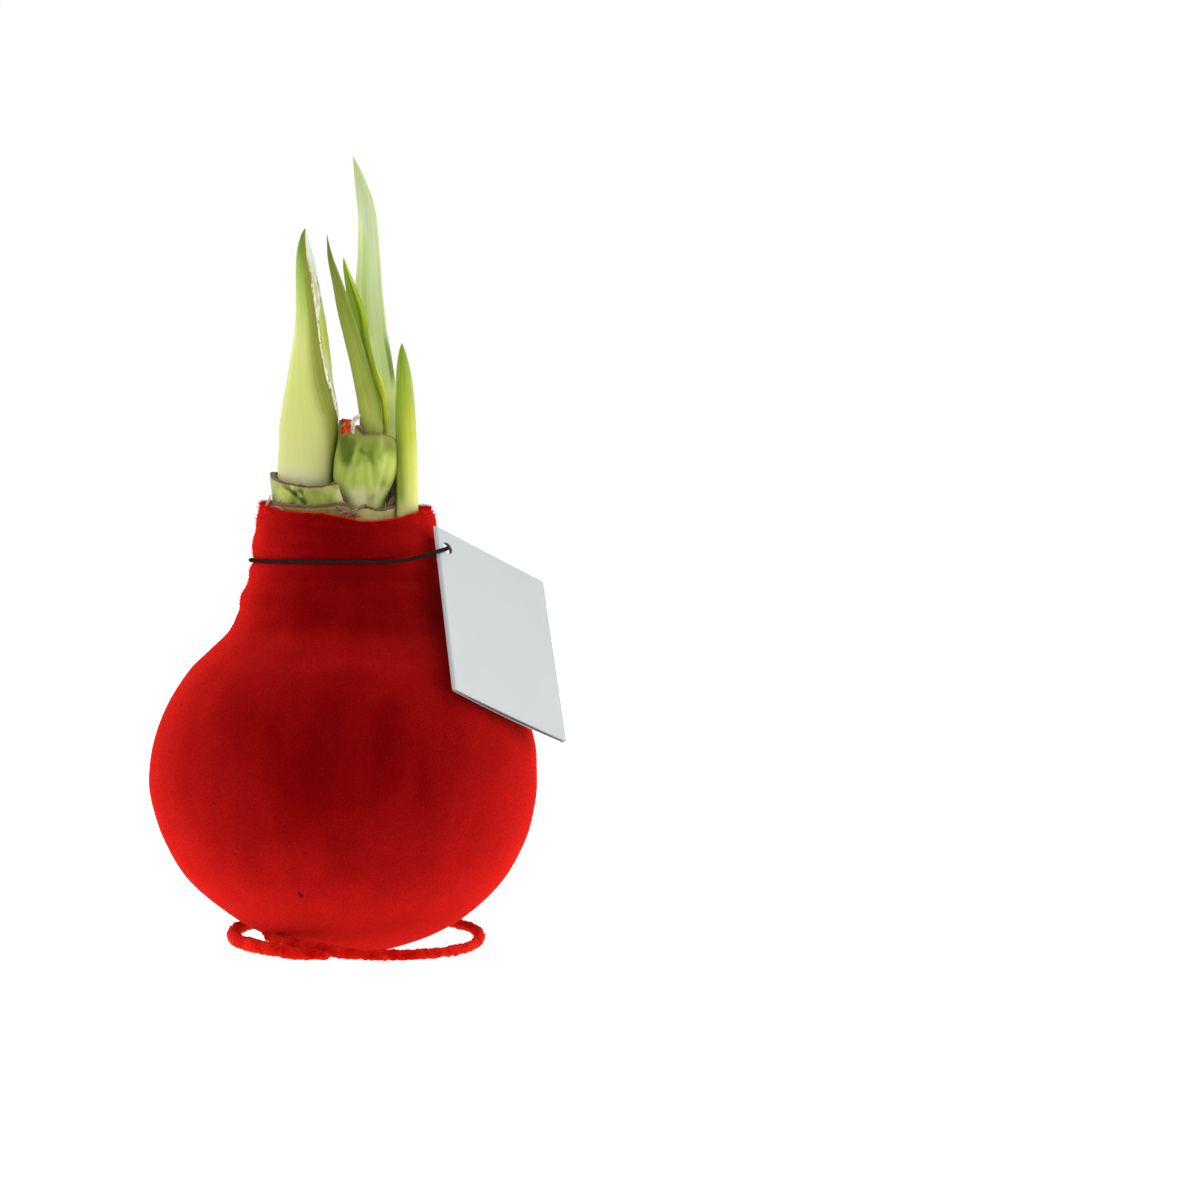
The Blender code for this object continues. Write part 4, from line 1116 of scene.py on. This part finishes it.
scales = {
    "bud_collar": {
        "plan": ((0.4, -10.9), (-1.4, -11.2), (-6.0, -11.9), (-11.4, -12.0), (-16.3, -10.0), (-19.0, -5.4),
                 (-18.2, -0.6), (-13.0, 1.9), (-8.0, 1.8), (-5.4, 1.0)),
        "wall": 0.7, "slant": 0.09, "flare": 0.85, "crease": 0.25, "columns": 130, "rows": 34,
        "slot": "cut_scale",
        "top": ((0.0, 117.6), (0.1, 117.3), (0.22, 116.5), (0.36, 117.1), (0.52, 118.6), (0.66, 119.9),
                (1.0, 119.2)),
        "folds": (                                      # place along the plan, width, size, lean
            (0.28, 0.016, -0.9, 0.13), (0.31, 0.02, 0.45, 0.13), (0.37, 0.018, -0.5, 0.05),
        ),
        "look": {
            "span": (107, 120),
            "stops": ((0.0, (0.34, 0.31, 0.13)), (0.45, (0.25, 0.28, 0.05)), (1.0, (0.13, 0.17, 0.02))),
            "dark": (0.08, 0.11, 0.01), "light": (0.44, 0.49, 0.13), "veins": 30, "veinDepth": 0.2,
            "mottle": 0.65,
            "mottleScale": 250.0, "rim": (0.93, 0.03, (0.09, 0.045, 0.025), (0.36, 0.32, 0.13)), "rough": 0.4,
            "patches": (
                ((-1.4, -12.4, 114.6), 3.2, (0.52, 0.50, 0.26), 0.8),
                ((-8.5, -13.0, 115.8), 1.6, (0.12, 0.17, 0.015), 0.4),
                ((-16.4, -10.0, 114.6), 3.0, (0.34, 0.40, 0.08), 0.7),
                ((-5.0, -12.8, 114.8), 2.4, (0.32, 0.40, 0.07), 0.7),
            ),
            "shadingLines": (
                # the three dark lines are painted shade in the diagonal creases; the pale one between them is
                # painted light on the ridge
                ((-16.2, -10.6, 116.6), (-13.7, -12.4, 114.8), 0.9, (0.02, 0.04, 0.003), 0.95),
                ((-13.7, -12.4, 114.8), (-11.0, -12.1, 112.4), 1.0, (0.02, 0.04, 0.003), 0.95),
                ((-12.8, -12.0, 116.0), (-10.8, -12.0, 113.4), 0.8, (0.03, 0.055, 0.004), 0.9),
                ((-14.4, -12.0, 116.6), (-12.0, -11.9, 114.0), 0.7, (0.40, 0.48, 0.12), 0.6),
            ),
        },
    },
    "lower_scale_left": {
        "plan": ((1.2, -12.2), (-3.0, -13.0), (-8.0, -13.5), (-12.5, -13.3), (-15.8, -11.6), (-18.2, -8.9),
                 (-19.6, -6.0)),
        "wall": 0.8, "slant": 0.0, "flare": 0.2, "crease": 0.12, "columns": 100, "rows": 14, "slot": "cut_scale",
        "top": ((0.0, 110.8), (0.1, 112.4), (0.42, 111.8), (0.7, 112.1), (1.0, 112.9)),
        "folds": ((0.5, 0.05, -0.25, 0.1),),
        "look": {
            "span": (107, 113), "stops": ((0.0, (0.17, 0.16, 0.035)), (1.0, (0.15, 0.18, 0.03))),
            "dark": (0.07, 0.07, 0.01), "light": (0.30, 0.29, 0.09), "veins": 22, "veinDepth": 0.3, "mottle": 0.6,
            "mottleScale": 330.0, "rim": (0.80, 0.10, (0.13, 0.06, 0.035), (0.36, 0.30, 0.16)), "rough": 0.5,
        },
    },
    "lower_scale_right": {
        "plan": ((11.4, -4.8), (10.7, -8.2), (8.0, -11.2), (4.5, -12.4), (1.6, -12.3)),
        "wall": 0.8, "slant": 0.0, "flare": 0.2, "crease": 0.12, "columns": 60, "rows": 14, "slot": "pale_scale",
        "top": ((0.0, 112.0), (0.3, 111.5), (0.58, 110.8), (0.88, 111.8), (1.0, 110.8)),
        "folds": (),
        "look": {
            "span": (107, 113), "stops": ((0.0, (0.36, 0.31, 0.11)), (1.0, (0.50, 0.48, 0.18))),
            "dark": (0.22, 0.16, 0.07), "light": (0.62, 0.60, 0.36), "veins": 20, "veinDepth": 0.25,
            "mottle": 0.35,
            "mottleScale": 330.0, "rim": (0.80, 0.10, (0.12, 0.055, 0.03), (0.42, 0.33, 0.18)), "rough": 0.5,
        },
    },
    "lower_scale_back": {
        "plan": ((-16.0, 9.1), (-9.1, 15.7), (0.5, 17.6), (9.6, 14.0), (15.3, 6.3)),
        "wall": 0.8, "slant": 0.0, "flare": -0.2, "crease": 0.25, "columns": 90, "rows": 16, "slot": "pale_scale",
        "top": ((0.0, 113.7), (0.3, 113.0), (0.7, 113.8), (1.0, 112.2)),
        "folds": ((0.4, 0.04, -0.3, 0.1), (0.75, 0.04, 0.3, 0.1)),
        "look": {
            "span": (107, 114), "stops": ((0.0, (0.34, 0.32, 0.12)), (1.0, (0.36, 0.38, 0.12))),
            "dark": (0.14, 0.16, 0.04), "light": (0.55, 0.53, 0.28), "veins": 30, "veinDepth": 0.25,
            "mottle": 0.5,
            "mottleScale": 260.0, "rim": (0.86, 0.08, (0.12, 0.055, 0.03), (0.38, 0.30, 0.15)), "rough": 0.5,
        },
    },
}
dryLook = {
    "span": (107, 122), "stops": ((0.0, (0.20, 0.12, 0.06)), (1.0, (0.30, 0.20, 0.12))),
    "dark": (0.07, 0.03, 0.015), "light": (0.42, 0.33, 0.22), "veins": 9, "veinDepth": 0.5, "mottle": 0.7,
    "mottleScale": 520.0, "rough": 0.6, "glow": 0.0, "bump": 0.5,
}


def makeScale(name, scale, seed):
    steps = 80
    line = smoothLine([(x, y, 0.0) for x, y in scale["plan"]], steps + 1)
    stations = [(k / steps, *point) for k, point in enumerate(line)]

    def scalePoint(u, v):
        place = 1 - u
        share = scale["slant"] * v + (1 - scale["slant"] * v) * place
        point = Vector(between(stations, share))
        behind, ahead = (Vector(between(stations, share + step)) for step in (-0.02, 0.02))
        along = (ahead - behind).normalized()
        out = Vector((-along.y, along.x, 0.0))
        top = between(scale["top"], share)[0] + 0.2 * rough(share * 30, 0, 0, seed)
        height = scaleFoot + (top - scaleFoot) * v
        stand = scale["flare"] * v * v + scale["crease"] * v * math.sin(19.0 * share + 1.4 * v)
        for middle, width, size, lean in scale["folds"]:
            stand += size * v * hump(share + lean * (v - 1.0), middle, width)
        stand += 0.12 * v * rough(share * 16, v * 2, 0, seed + 1)
        stand -= 0.25 * max(v - 0.9, 0) / 0.1
        return Vector((point.x, point.y, height)) + out * stand

    piece = makeSheet(name + "_skin", scale["columns"], scale["rows"], scalePoint)
    giveBody(piece, scale["wall"])
    smoothShade(piece)
    finishPiece(piece, plantMaterial(name + "Look", scale["look"]), scale["slot"], name)


for seed, (name, scale) in enumerate(scales.items()):
    makeScale(name, scale, 40 + seed)
print("scales made")


# Dry scraps and membranes, each a thin curled strip along its own line

scraps = {
    # name: points of its middle line, width, curl in degrees, tint
    "dry_curl_left": (((-17.2, -10.6, 109.2), (-19.0, -7.6, 110.8), (-20.1, -4.4, 111.8)), 2.6, 40, "dry"),
    "dry_curl_left_up": (((-20.9, -5.2, 109.5), (-20.6, -6.4, 112.0), (-19.6, -6.2, 114.2)), 1.5, 70, "pale"),
    "dry_curl_left_low": (((-15.0, -13.6, 109.4), (-17.6, -11.4, 110.8), (-19.6, -8.6, 111.2)), 1.1, 60, "dry"),
    "dry_curl_left_front": (((-11.0, -15.2, 109.0), (-14.6, -13.8, 109.6), (-17.8, -11.0, 110.0)), 0.9, 60,
                            "dry"),
    "dry_curl_left_in": (((-19.2, -8.4, 110.0), (-18.2, -8.8, 111.8), (-16.4, -10.0, 113.4)), 1.0, 80, "dry"),
    "dry_curl_left_top": (((-17.6, -7.9, 117.4), (-19.6, -4.6, 118.6), (-18.5, -1.0, 119.6)), 1.0, 80, "pale"),
    "dry_scrap_right": (((12.9, 2.0, 108.0), (13.2, 0.8, 113.0), (11.9, -0.8, 120.4)), 2.6, 50, "dark"),
    "dry_scrap_right_low": (((9.6, -9.4, 111.2), (10.9, -7.4, 112.8), (12.0, -5.2, 114.0)), 1.9, 70, "dark"),
    "dry_scrap_right_mid": (((10.2, -4.3, 111.6), (10.7, -4.3, 115.4), (11.3, -4.1, 119.6)), 1.9, 40, "dark"),
    "dry_scale_backing": (((10.6, -1.2, 107.6), (11.1, -1.0, 118.0), (11.7, -0.8, 128.4)), 4.4, 25, "green"),
    "green_sliver_right": (((12.3, -4.0, 108.0), (12.0, -4.2, 112.0), (12.1, -3.8, 116.6)), 1.5, 40, "green"),
    "notch_membrane_left": (((-3.4, -13.5, 111.6), (0.2, -13.2, 109.9), (2.6, -12.9, 109.0)), 0.8, 30, "red"),
    "notch_membrane_right": (((4.2, -13.0, 111.9), (1.4, -13.3, 110.4), (-1.2, -13.6, 108.6)), 0.7, 30, "red"),
    "notch_membrane_front": (((-9.6, -14.1, 108.9), (-4.0, -14.1, 109.3), (0.4, -13.9, 110.5)), 0.6, 40, "red"),
    "rim_scrap_left": (((-16.2, -12.6, 110.2), (-8.0, -17.4, 109.3), (-1.0, -18.8, 108.4)), 0.8, 60, "dry"),
    "rim_scrap_right": (((-2.0, -18.9, 108.2), (5.0, -18.2, 107.6), (12.4, -14.0, 108.5)), 0.9, 60, "dry"),
    "sheath_frill": (((0.6, -12.0, 130.6), (1.1, -11.9, 132.4), (2.5, -11.2, 134.2)), 1.1, 50, "pale"),
    "sheath_frill_low": (((0.9, -12.3, 129.4), (0.9, -12.2, 130.6), (1.3, -11.8, 131.9)), 0.8, 60, "pale"),
    "sheath_frill_back": (((2.0, -8.8, 127.6), (2.2, -8.6, 129.6), (2.5, -8.4, 131.5)), 2.4, 30, "dry"),
}
scrapLooks = {
    "dry": dryLook,
    "dark": dict(dryLook, stops=((0.0, (0.05, 0.03, 0.015)), (1.0, (0.09, 0.05, 0.02))),
                 light=(0.22, 0.15, 0.08)),
    "pale": dict(dryLook, stops=((0.0, (0.42, 0.33, 0.22)), (1.0, (0.56, 0.50, 0.38))), dark=(0.16, 0.08, 0.04)),
    "red": dict(dryLook, stops=((0.0, (0.30, 0.15, 0.08)), (1.0, (0.36, 0.19, 0.10))), light=(0.55, 0.38, 0.26)),
    "green": dict(dryLook, stops=((0.0, (0.24, 0.24, 0.06)), (1.0, (0.22, 0.26, 0.03))), light=(0.4, 0.42, 0.12)),
}
scrapWall = 0.22
scrapCentres = {"dry_scrap_right_mid": (10.6, 20.0), "dry_scale_backing": (11.4, 20.0)}
scrapNodes = {"dry_curl_left": ("dry_scale_left",), "dry_scrap_right": ("dry_scale_right",)}


def makeScrap(name, points, width, curl, tint, material, seed):
    steps = 24
    line = smoothLine(points, steps + 1)
    centreX, centreY = scrapCentres.get(name, (0.0, -1.0))      # the strip's face turns away from here

    def scrapPoint(u, v):
        k = v * steps
        i = min(int(k), steps - 1)
        point = line[i].lerp(line[i + 1], k - i)
        along = (line[i + 1] - line[i]).normalized()
        out = Vector((point.x - centreX, point.y - centreY, 0)).normalized()
        out = (out - along * out.dot(along)).normalized()
        across = along.cross(out)
        taper = 1 - 0.55 * abs(2 * v - 1) ** 3 + 0.35 * rough(v * 5, 0, u, seed)
        radius = width / math.radians(2 * curl)
        turn = math.radians(curl) * (2 * u - 1) * taper
        point = point + across * radius * math.sin(turn) - out * radius * (1 - math.cos(turn))
        return point + out * 0.3 * rough(u * 2, v * 6, 0, seed + 1)

    piece = makeSheet(name, 10, 40, scrapPoint)
    giveBody(piece, scrapWall, offset=0.0)
    smoothShade(piece)
    finishPiece(piece, material, "pale_scale" if tint == "green" else "dry_scale", *scrapNodes.get(name, ()))


scrapMaterials = {tint: plantMaterial(tint + "Scrap", look) for tint, look in scrapLooks.items()}
for seed, (name, (points, width, curl, tint)) in enumerate(scraps.items()):
    makeScrap(name, points, width, curl, tint, scrapMaterials[tint], 60 + seed)
print("scraps made")


# Hang tag: one bare satin card, folded, with a punched hole

tag = {
    "corner": Vector((21.03, -12.13, 106.76)),
    "along": Vector((27.62, 26.0, -14.95)).normalized(), "down": Vector((4.2, -26.0, -39.33)).normalized(),
    "width": 40.6, "height": 47.4, "card": 0.38, "slit": 0.08, "open": 0.4, "twist": (0.3, 1.0),
    "wave": (0.12, 2.4, 0.5),                           # size, turn down the card, phase
    "hole": (4.2, 5.0), "holeRadius": 1.6, "holeDepth": 0.8, "punch": 12, "columns": 96, "rows": 40,
}
tagOut = tag["down"].cross(tag["along"])


def tagPoint(along, down, out):
    return tag["corner"] + tag["along"] * along + tag["down"] * down + tagOut * out


def makeTag():
    half = tag["card"] / 2
    fold = (tag["card"] + tag["slit"]) / 2              # radius of the card's middle round the fold
    flat = tag["width"] - fold - half

    def cardPoint(u, v):
        down = tag["height"] * (1 - v)
        bend = math.pi * fold
        place = u * (2 * flat + bend)
        size, turns, phase = tag["wave"]
        wave = size * math.sin(v * turns + phase)
        twist = tag["twist"][0] + tag["twist"][1] * (1 - v)
        if place < flat:                                # front leaf, from its free edge to the fold
            along = fold + half + flat - place
            share = max(along, 0.0) / flat
            return tagPoint(along, down, -half + wave * share + twist * share**1.5)
        if place < flat + bend:
            turn = (place - flat) / fold
            return tagPoint(fold + half - fold * math.sin(turn), down, -half - fold + fold * math.cos(turn))
        along = place - flat - bend
        share = along / flat
        bow = tag["open"] * math.sin(math.pi * share) * (0.55 + 0.45 * (1 - v)) + 0.2 * share
        return tagPoint(fold + half + along, down, -half - 2 * fold - bow + twist * share**1.5)

    piece = makeSheet("tag_card", tag["columns"], tag["rows"], cardPoint)
    giveBody(piece, tag["card"], offset=0.0)
    pickNone()
    middle = tagPoint(*tag["hole"], -tag["holeDepth"]) * mm
    bpy.ops.mesh.primitive_cylinder_add(vertices=48, radius=tag["holeRadius"] * mm, depth=tag["punch"] * mm,
                                        location=middle, rotation=tagOut.to_track_quat("Z", "Y").to_euler())
    punch = bpy.context.object
    cut = piece.modifiers.new("punch", "BOOLEAN")
    cut.operation = "DIFFERENCE"
    cut.solver = "EXACT"
    cut.object = punch
    applyAll(piece)
    bpy.data.objects.remove(punch, do_unlink=True)
    smoothShade(piece, 35)
    material, tree, shader, coords = startMaterial("satinCard")
    fine = cloud(tree, coords["Object"], 3200.0)
    soft = cloud(tree, coords["Object"], 45.0)
    colour = mixColour(tree, ease(tree, soft, 0.3, 0.7), (0.224, 0.236, 0.237), (0.234, 0.246, 0.246))
    colour = mixColour(tree, times(tree, fine, 0.08), colour, (0.5, 0.52, 0.52))
    tree.links.new(colour, shader.inputs["Base Color"])
    tree.links.new(ease(tree, fine, 0.2, 0.8, 0.34, 0.46), shader.inputs["Roughness"])
    setShader(shader, Metallic=0.25, Specular_IOR_Level=0.5)
    addBump(tree, shader, fine, 0.08, 0.05)
    finishPiece(piece, material, "silver_card", "hang_tag")
    print("tag", len(piece.data.polygons))


makeTag()


# Elastic: a thin black loop round the neck, through the tag's hole, tied behind

elastic = {
    "radius": 0.5, "neckX": -1.0, "neckRadius": 23.7, "steps": 90, "points": 460,
    "front": 0.42,                                      # how much later, in radians, it meets the neck
    "lift": 1.6, "uneven": 0.12,
    "hole": (                                           # its way through the tag's hole: along, down, out
        (0.0, 0.0, -4.0), (0.0, 0.0, -2.0), (0.0, 0.0, -0.2), (-0.9, 0.7, 0.35), (-1.7, 1.3, 0.7),
        (-4.8, 3.3, 0.75),
        (-6.4, 4.4, 0.75),
    ),
    "lead": ((16.6, -20.0, 98.9), (12.5, -21.2, 98.15), (8.0, -22.35, 97.95)),     # from the tag to the neck
    "knotAt": 35, "knotRadii": (0.75, 0.5), "knotTurn": (0.5, 1.3), "knotStretch": (1.0, 1.25, 0.9),
}


def elasticLine():
    hole = tagPoint(*tag["hole"], -0.6)
    heading = math.atan2(hole.y, hole.x - elastic["neckX"])
    radius = elastic["neckRadius"]
    leave = math.acos(radius / math.hypot(hole.x - elastic["neckX"], hole.y))
    points = []
    for i in range(elastic["steps"] + 1):
        share = i / elastic["steps"]
        turn = heading - leave - elastic["front"] - (math.tau - 2 * leave - elastic["front"]) * share
        lift = elastic["lift"] * share**6
        lift += elastic["uneven"] * rough(math.cos(turn) * 2, math.sin(turn) * 2, 0, 80.0)
        points.append(Vector((elastic["neckX"] + radius * math.cos(turn), radius * math.sin(turn),
                              cordHeight + lift)))
    along, down = tag["hole"]
    points += [tagPoint(along + aside, down + below, out) for aside, below, out in elastic["hole"]]
    points += [Vector(place) for place in elastic["lead"]]
    return smoothLine(points + points[:1], elastic["points"])[:-1]


def makeElastic():
    line = elasticLine()
    piece = threadCurve("elastic_loop", line, [elastic["radius"]] * len(line), closed=True, sides=3)
    smoothShade(piece, 80)
    material, tree, shader, coords = startMaterial("blackElastic")
    weave = cells(tree, coords["Object"], 3600.0)
    colour = mixColour(tree, weave, (0.006, 0.004, 0.004), (0.022, 0.014, 0.013))
    tree.links.new(colour, shader.inputs["Base Color"])
    setShader(shader, Roughness=0.9, Specular_IOR_Level=0.0)
    addBump(tree, shader, weave, 0.5, 0.1)
    finishPiece(piece, material, "elastic", "elastic_cord")
    turn = math.radians(elastic["knotAt"])
    middle = min(line, key=lambda point: abs(math.atan2(point.y, point.x - elastic["neckX"]) - turn))
    pickNone()
    major, minor = elastic["knotRadii"]
    bpy.ops.mesh.primitive_torus_add(major_radius=major * mm, minor_radius=minor * mm, major_segments=28,
                                     minor_segments=12, location=middle * mm,
                                     rotation=(*elastic["knotTurn"], turn))
    knot = named("elastic_knot")
    openEdit()
    bpy.ops.transform.resize(value=elastic["knotStretch"], center_override=middle * mm)
    closeEdit()
    bpy.ops.object.transform_apply(location=True, rotation=True, scale=True)
    smoothShade(knot, 80)
    finishPiece(knot, material, "elastic")
    print("elastic made")


makeElastic()


# Loose pile: short fibres that stand off the coat's outline and rim, and longer ones on the wire

fuzz = {
    # name: how many, lengths, seed
    "velvet_fuzz": (15000, (0.35, 0.95), 91),
    "rim_fuzz": (5200, (0.4, 1.2), 92),
    "wire_fuzz": (5200, (0.5, 1.5), 93),
}
hairWidth, hairLean = 0.05, 0.75


def hair(points, faces, foot, out, length, width, draw):
    # one slim closed spike on a foot of three corners, leaning its own way
    lean = Vector((draw.gauss(0, 1), draw.gauss(0, 1), draw.gauss(0, 1))).normalized()
    along = (out + lean * hairLean).normalized()
    across = along.cross(lean).normalized() * width / 2
    beside = along.cross(across)
    tip = foot + along * length
    if tip.z < width:                                   # it would go into the floor
        return
    start = len(points)
    points += [foot + across, foot - across * 0.5 + beside * 0.87, foot - across * 0.5 - beside * 0.87, tip]
    for corners in ((0, 2, 1), (0, 1, 3), (1, 2, 3), (2, 0, 3)):
        faces.append(tuple(start + corner for corner in corners))


def makeFuzz(name, spots, material, slot):
    count, lengths, seed = fuzz[name]
    draw = random.Random(seed)
    points, faces = [], []
    for k in range(count):
        foot, out = draw.choice(spots)
        hair(points, faces, foot, out, draw.uniform(*lengths), hairWidth * draw.uniform(0.6, 1.4), draw)
    pickNone()
    bpy.ops.mesh.primitive_plane_add(size=mm)
    piece = named(name)
    piece.data.clear_geometry()
    piece.data.from_pydata([point * mm for point in points], [], faces)
    piece.data.update()
    finishPiece(piece, material, slot)
    print(name, len(faces))


def skinSpots(piece, keep):
    # middle and direction of each face that passes
    spots = [(face.center / mm, face.normal.copy()) for face in piece.data.polygons]
    return [spot for spot in spots if keep(*spot)]


def outerSkin(place, out):
    # the coat's outer side, apart from its flat foot
    return place.z > 0.5 and out.z > -0.8 and out.x * (place.x + 1) + out.y * place.y > 0


def rimSkin(place, out):
    return place.z > 106.5 and out.z > 0.35


def ringSkin(place, out):
    return place.z < 7.5


pile = flockMaterial("loosePile", dict(velvetLook, grainDepth=0.2, bump=0.0, deep=(0.45, 0.004, 0.003)))
wirePile = flockMaterial("loosePileWire", dict(wireLook, grainDepth=0.2, bump=0.0, deep=(0.6, 0.02, 0.01)))
makeFuzz("velvet_fuzz", skinSpots(coatPiece, outerSkin), pile, "velvet")
makeFuzz("rim_fuzz", skinSpots(coatPiece, rimSkin), pile, "velvet")
makeFuzz("wire_fuzz", skinSpots(wirePiece, ringSkin), wirePile, "flocked_wire")
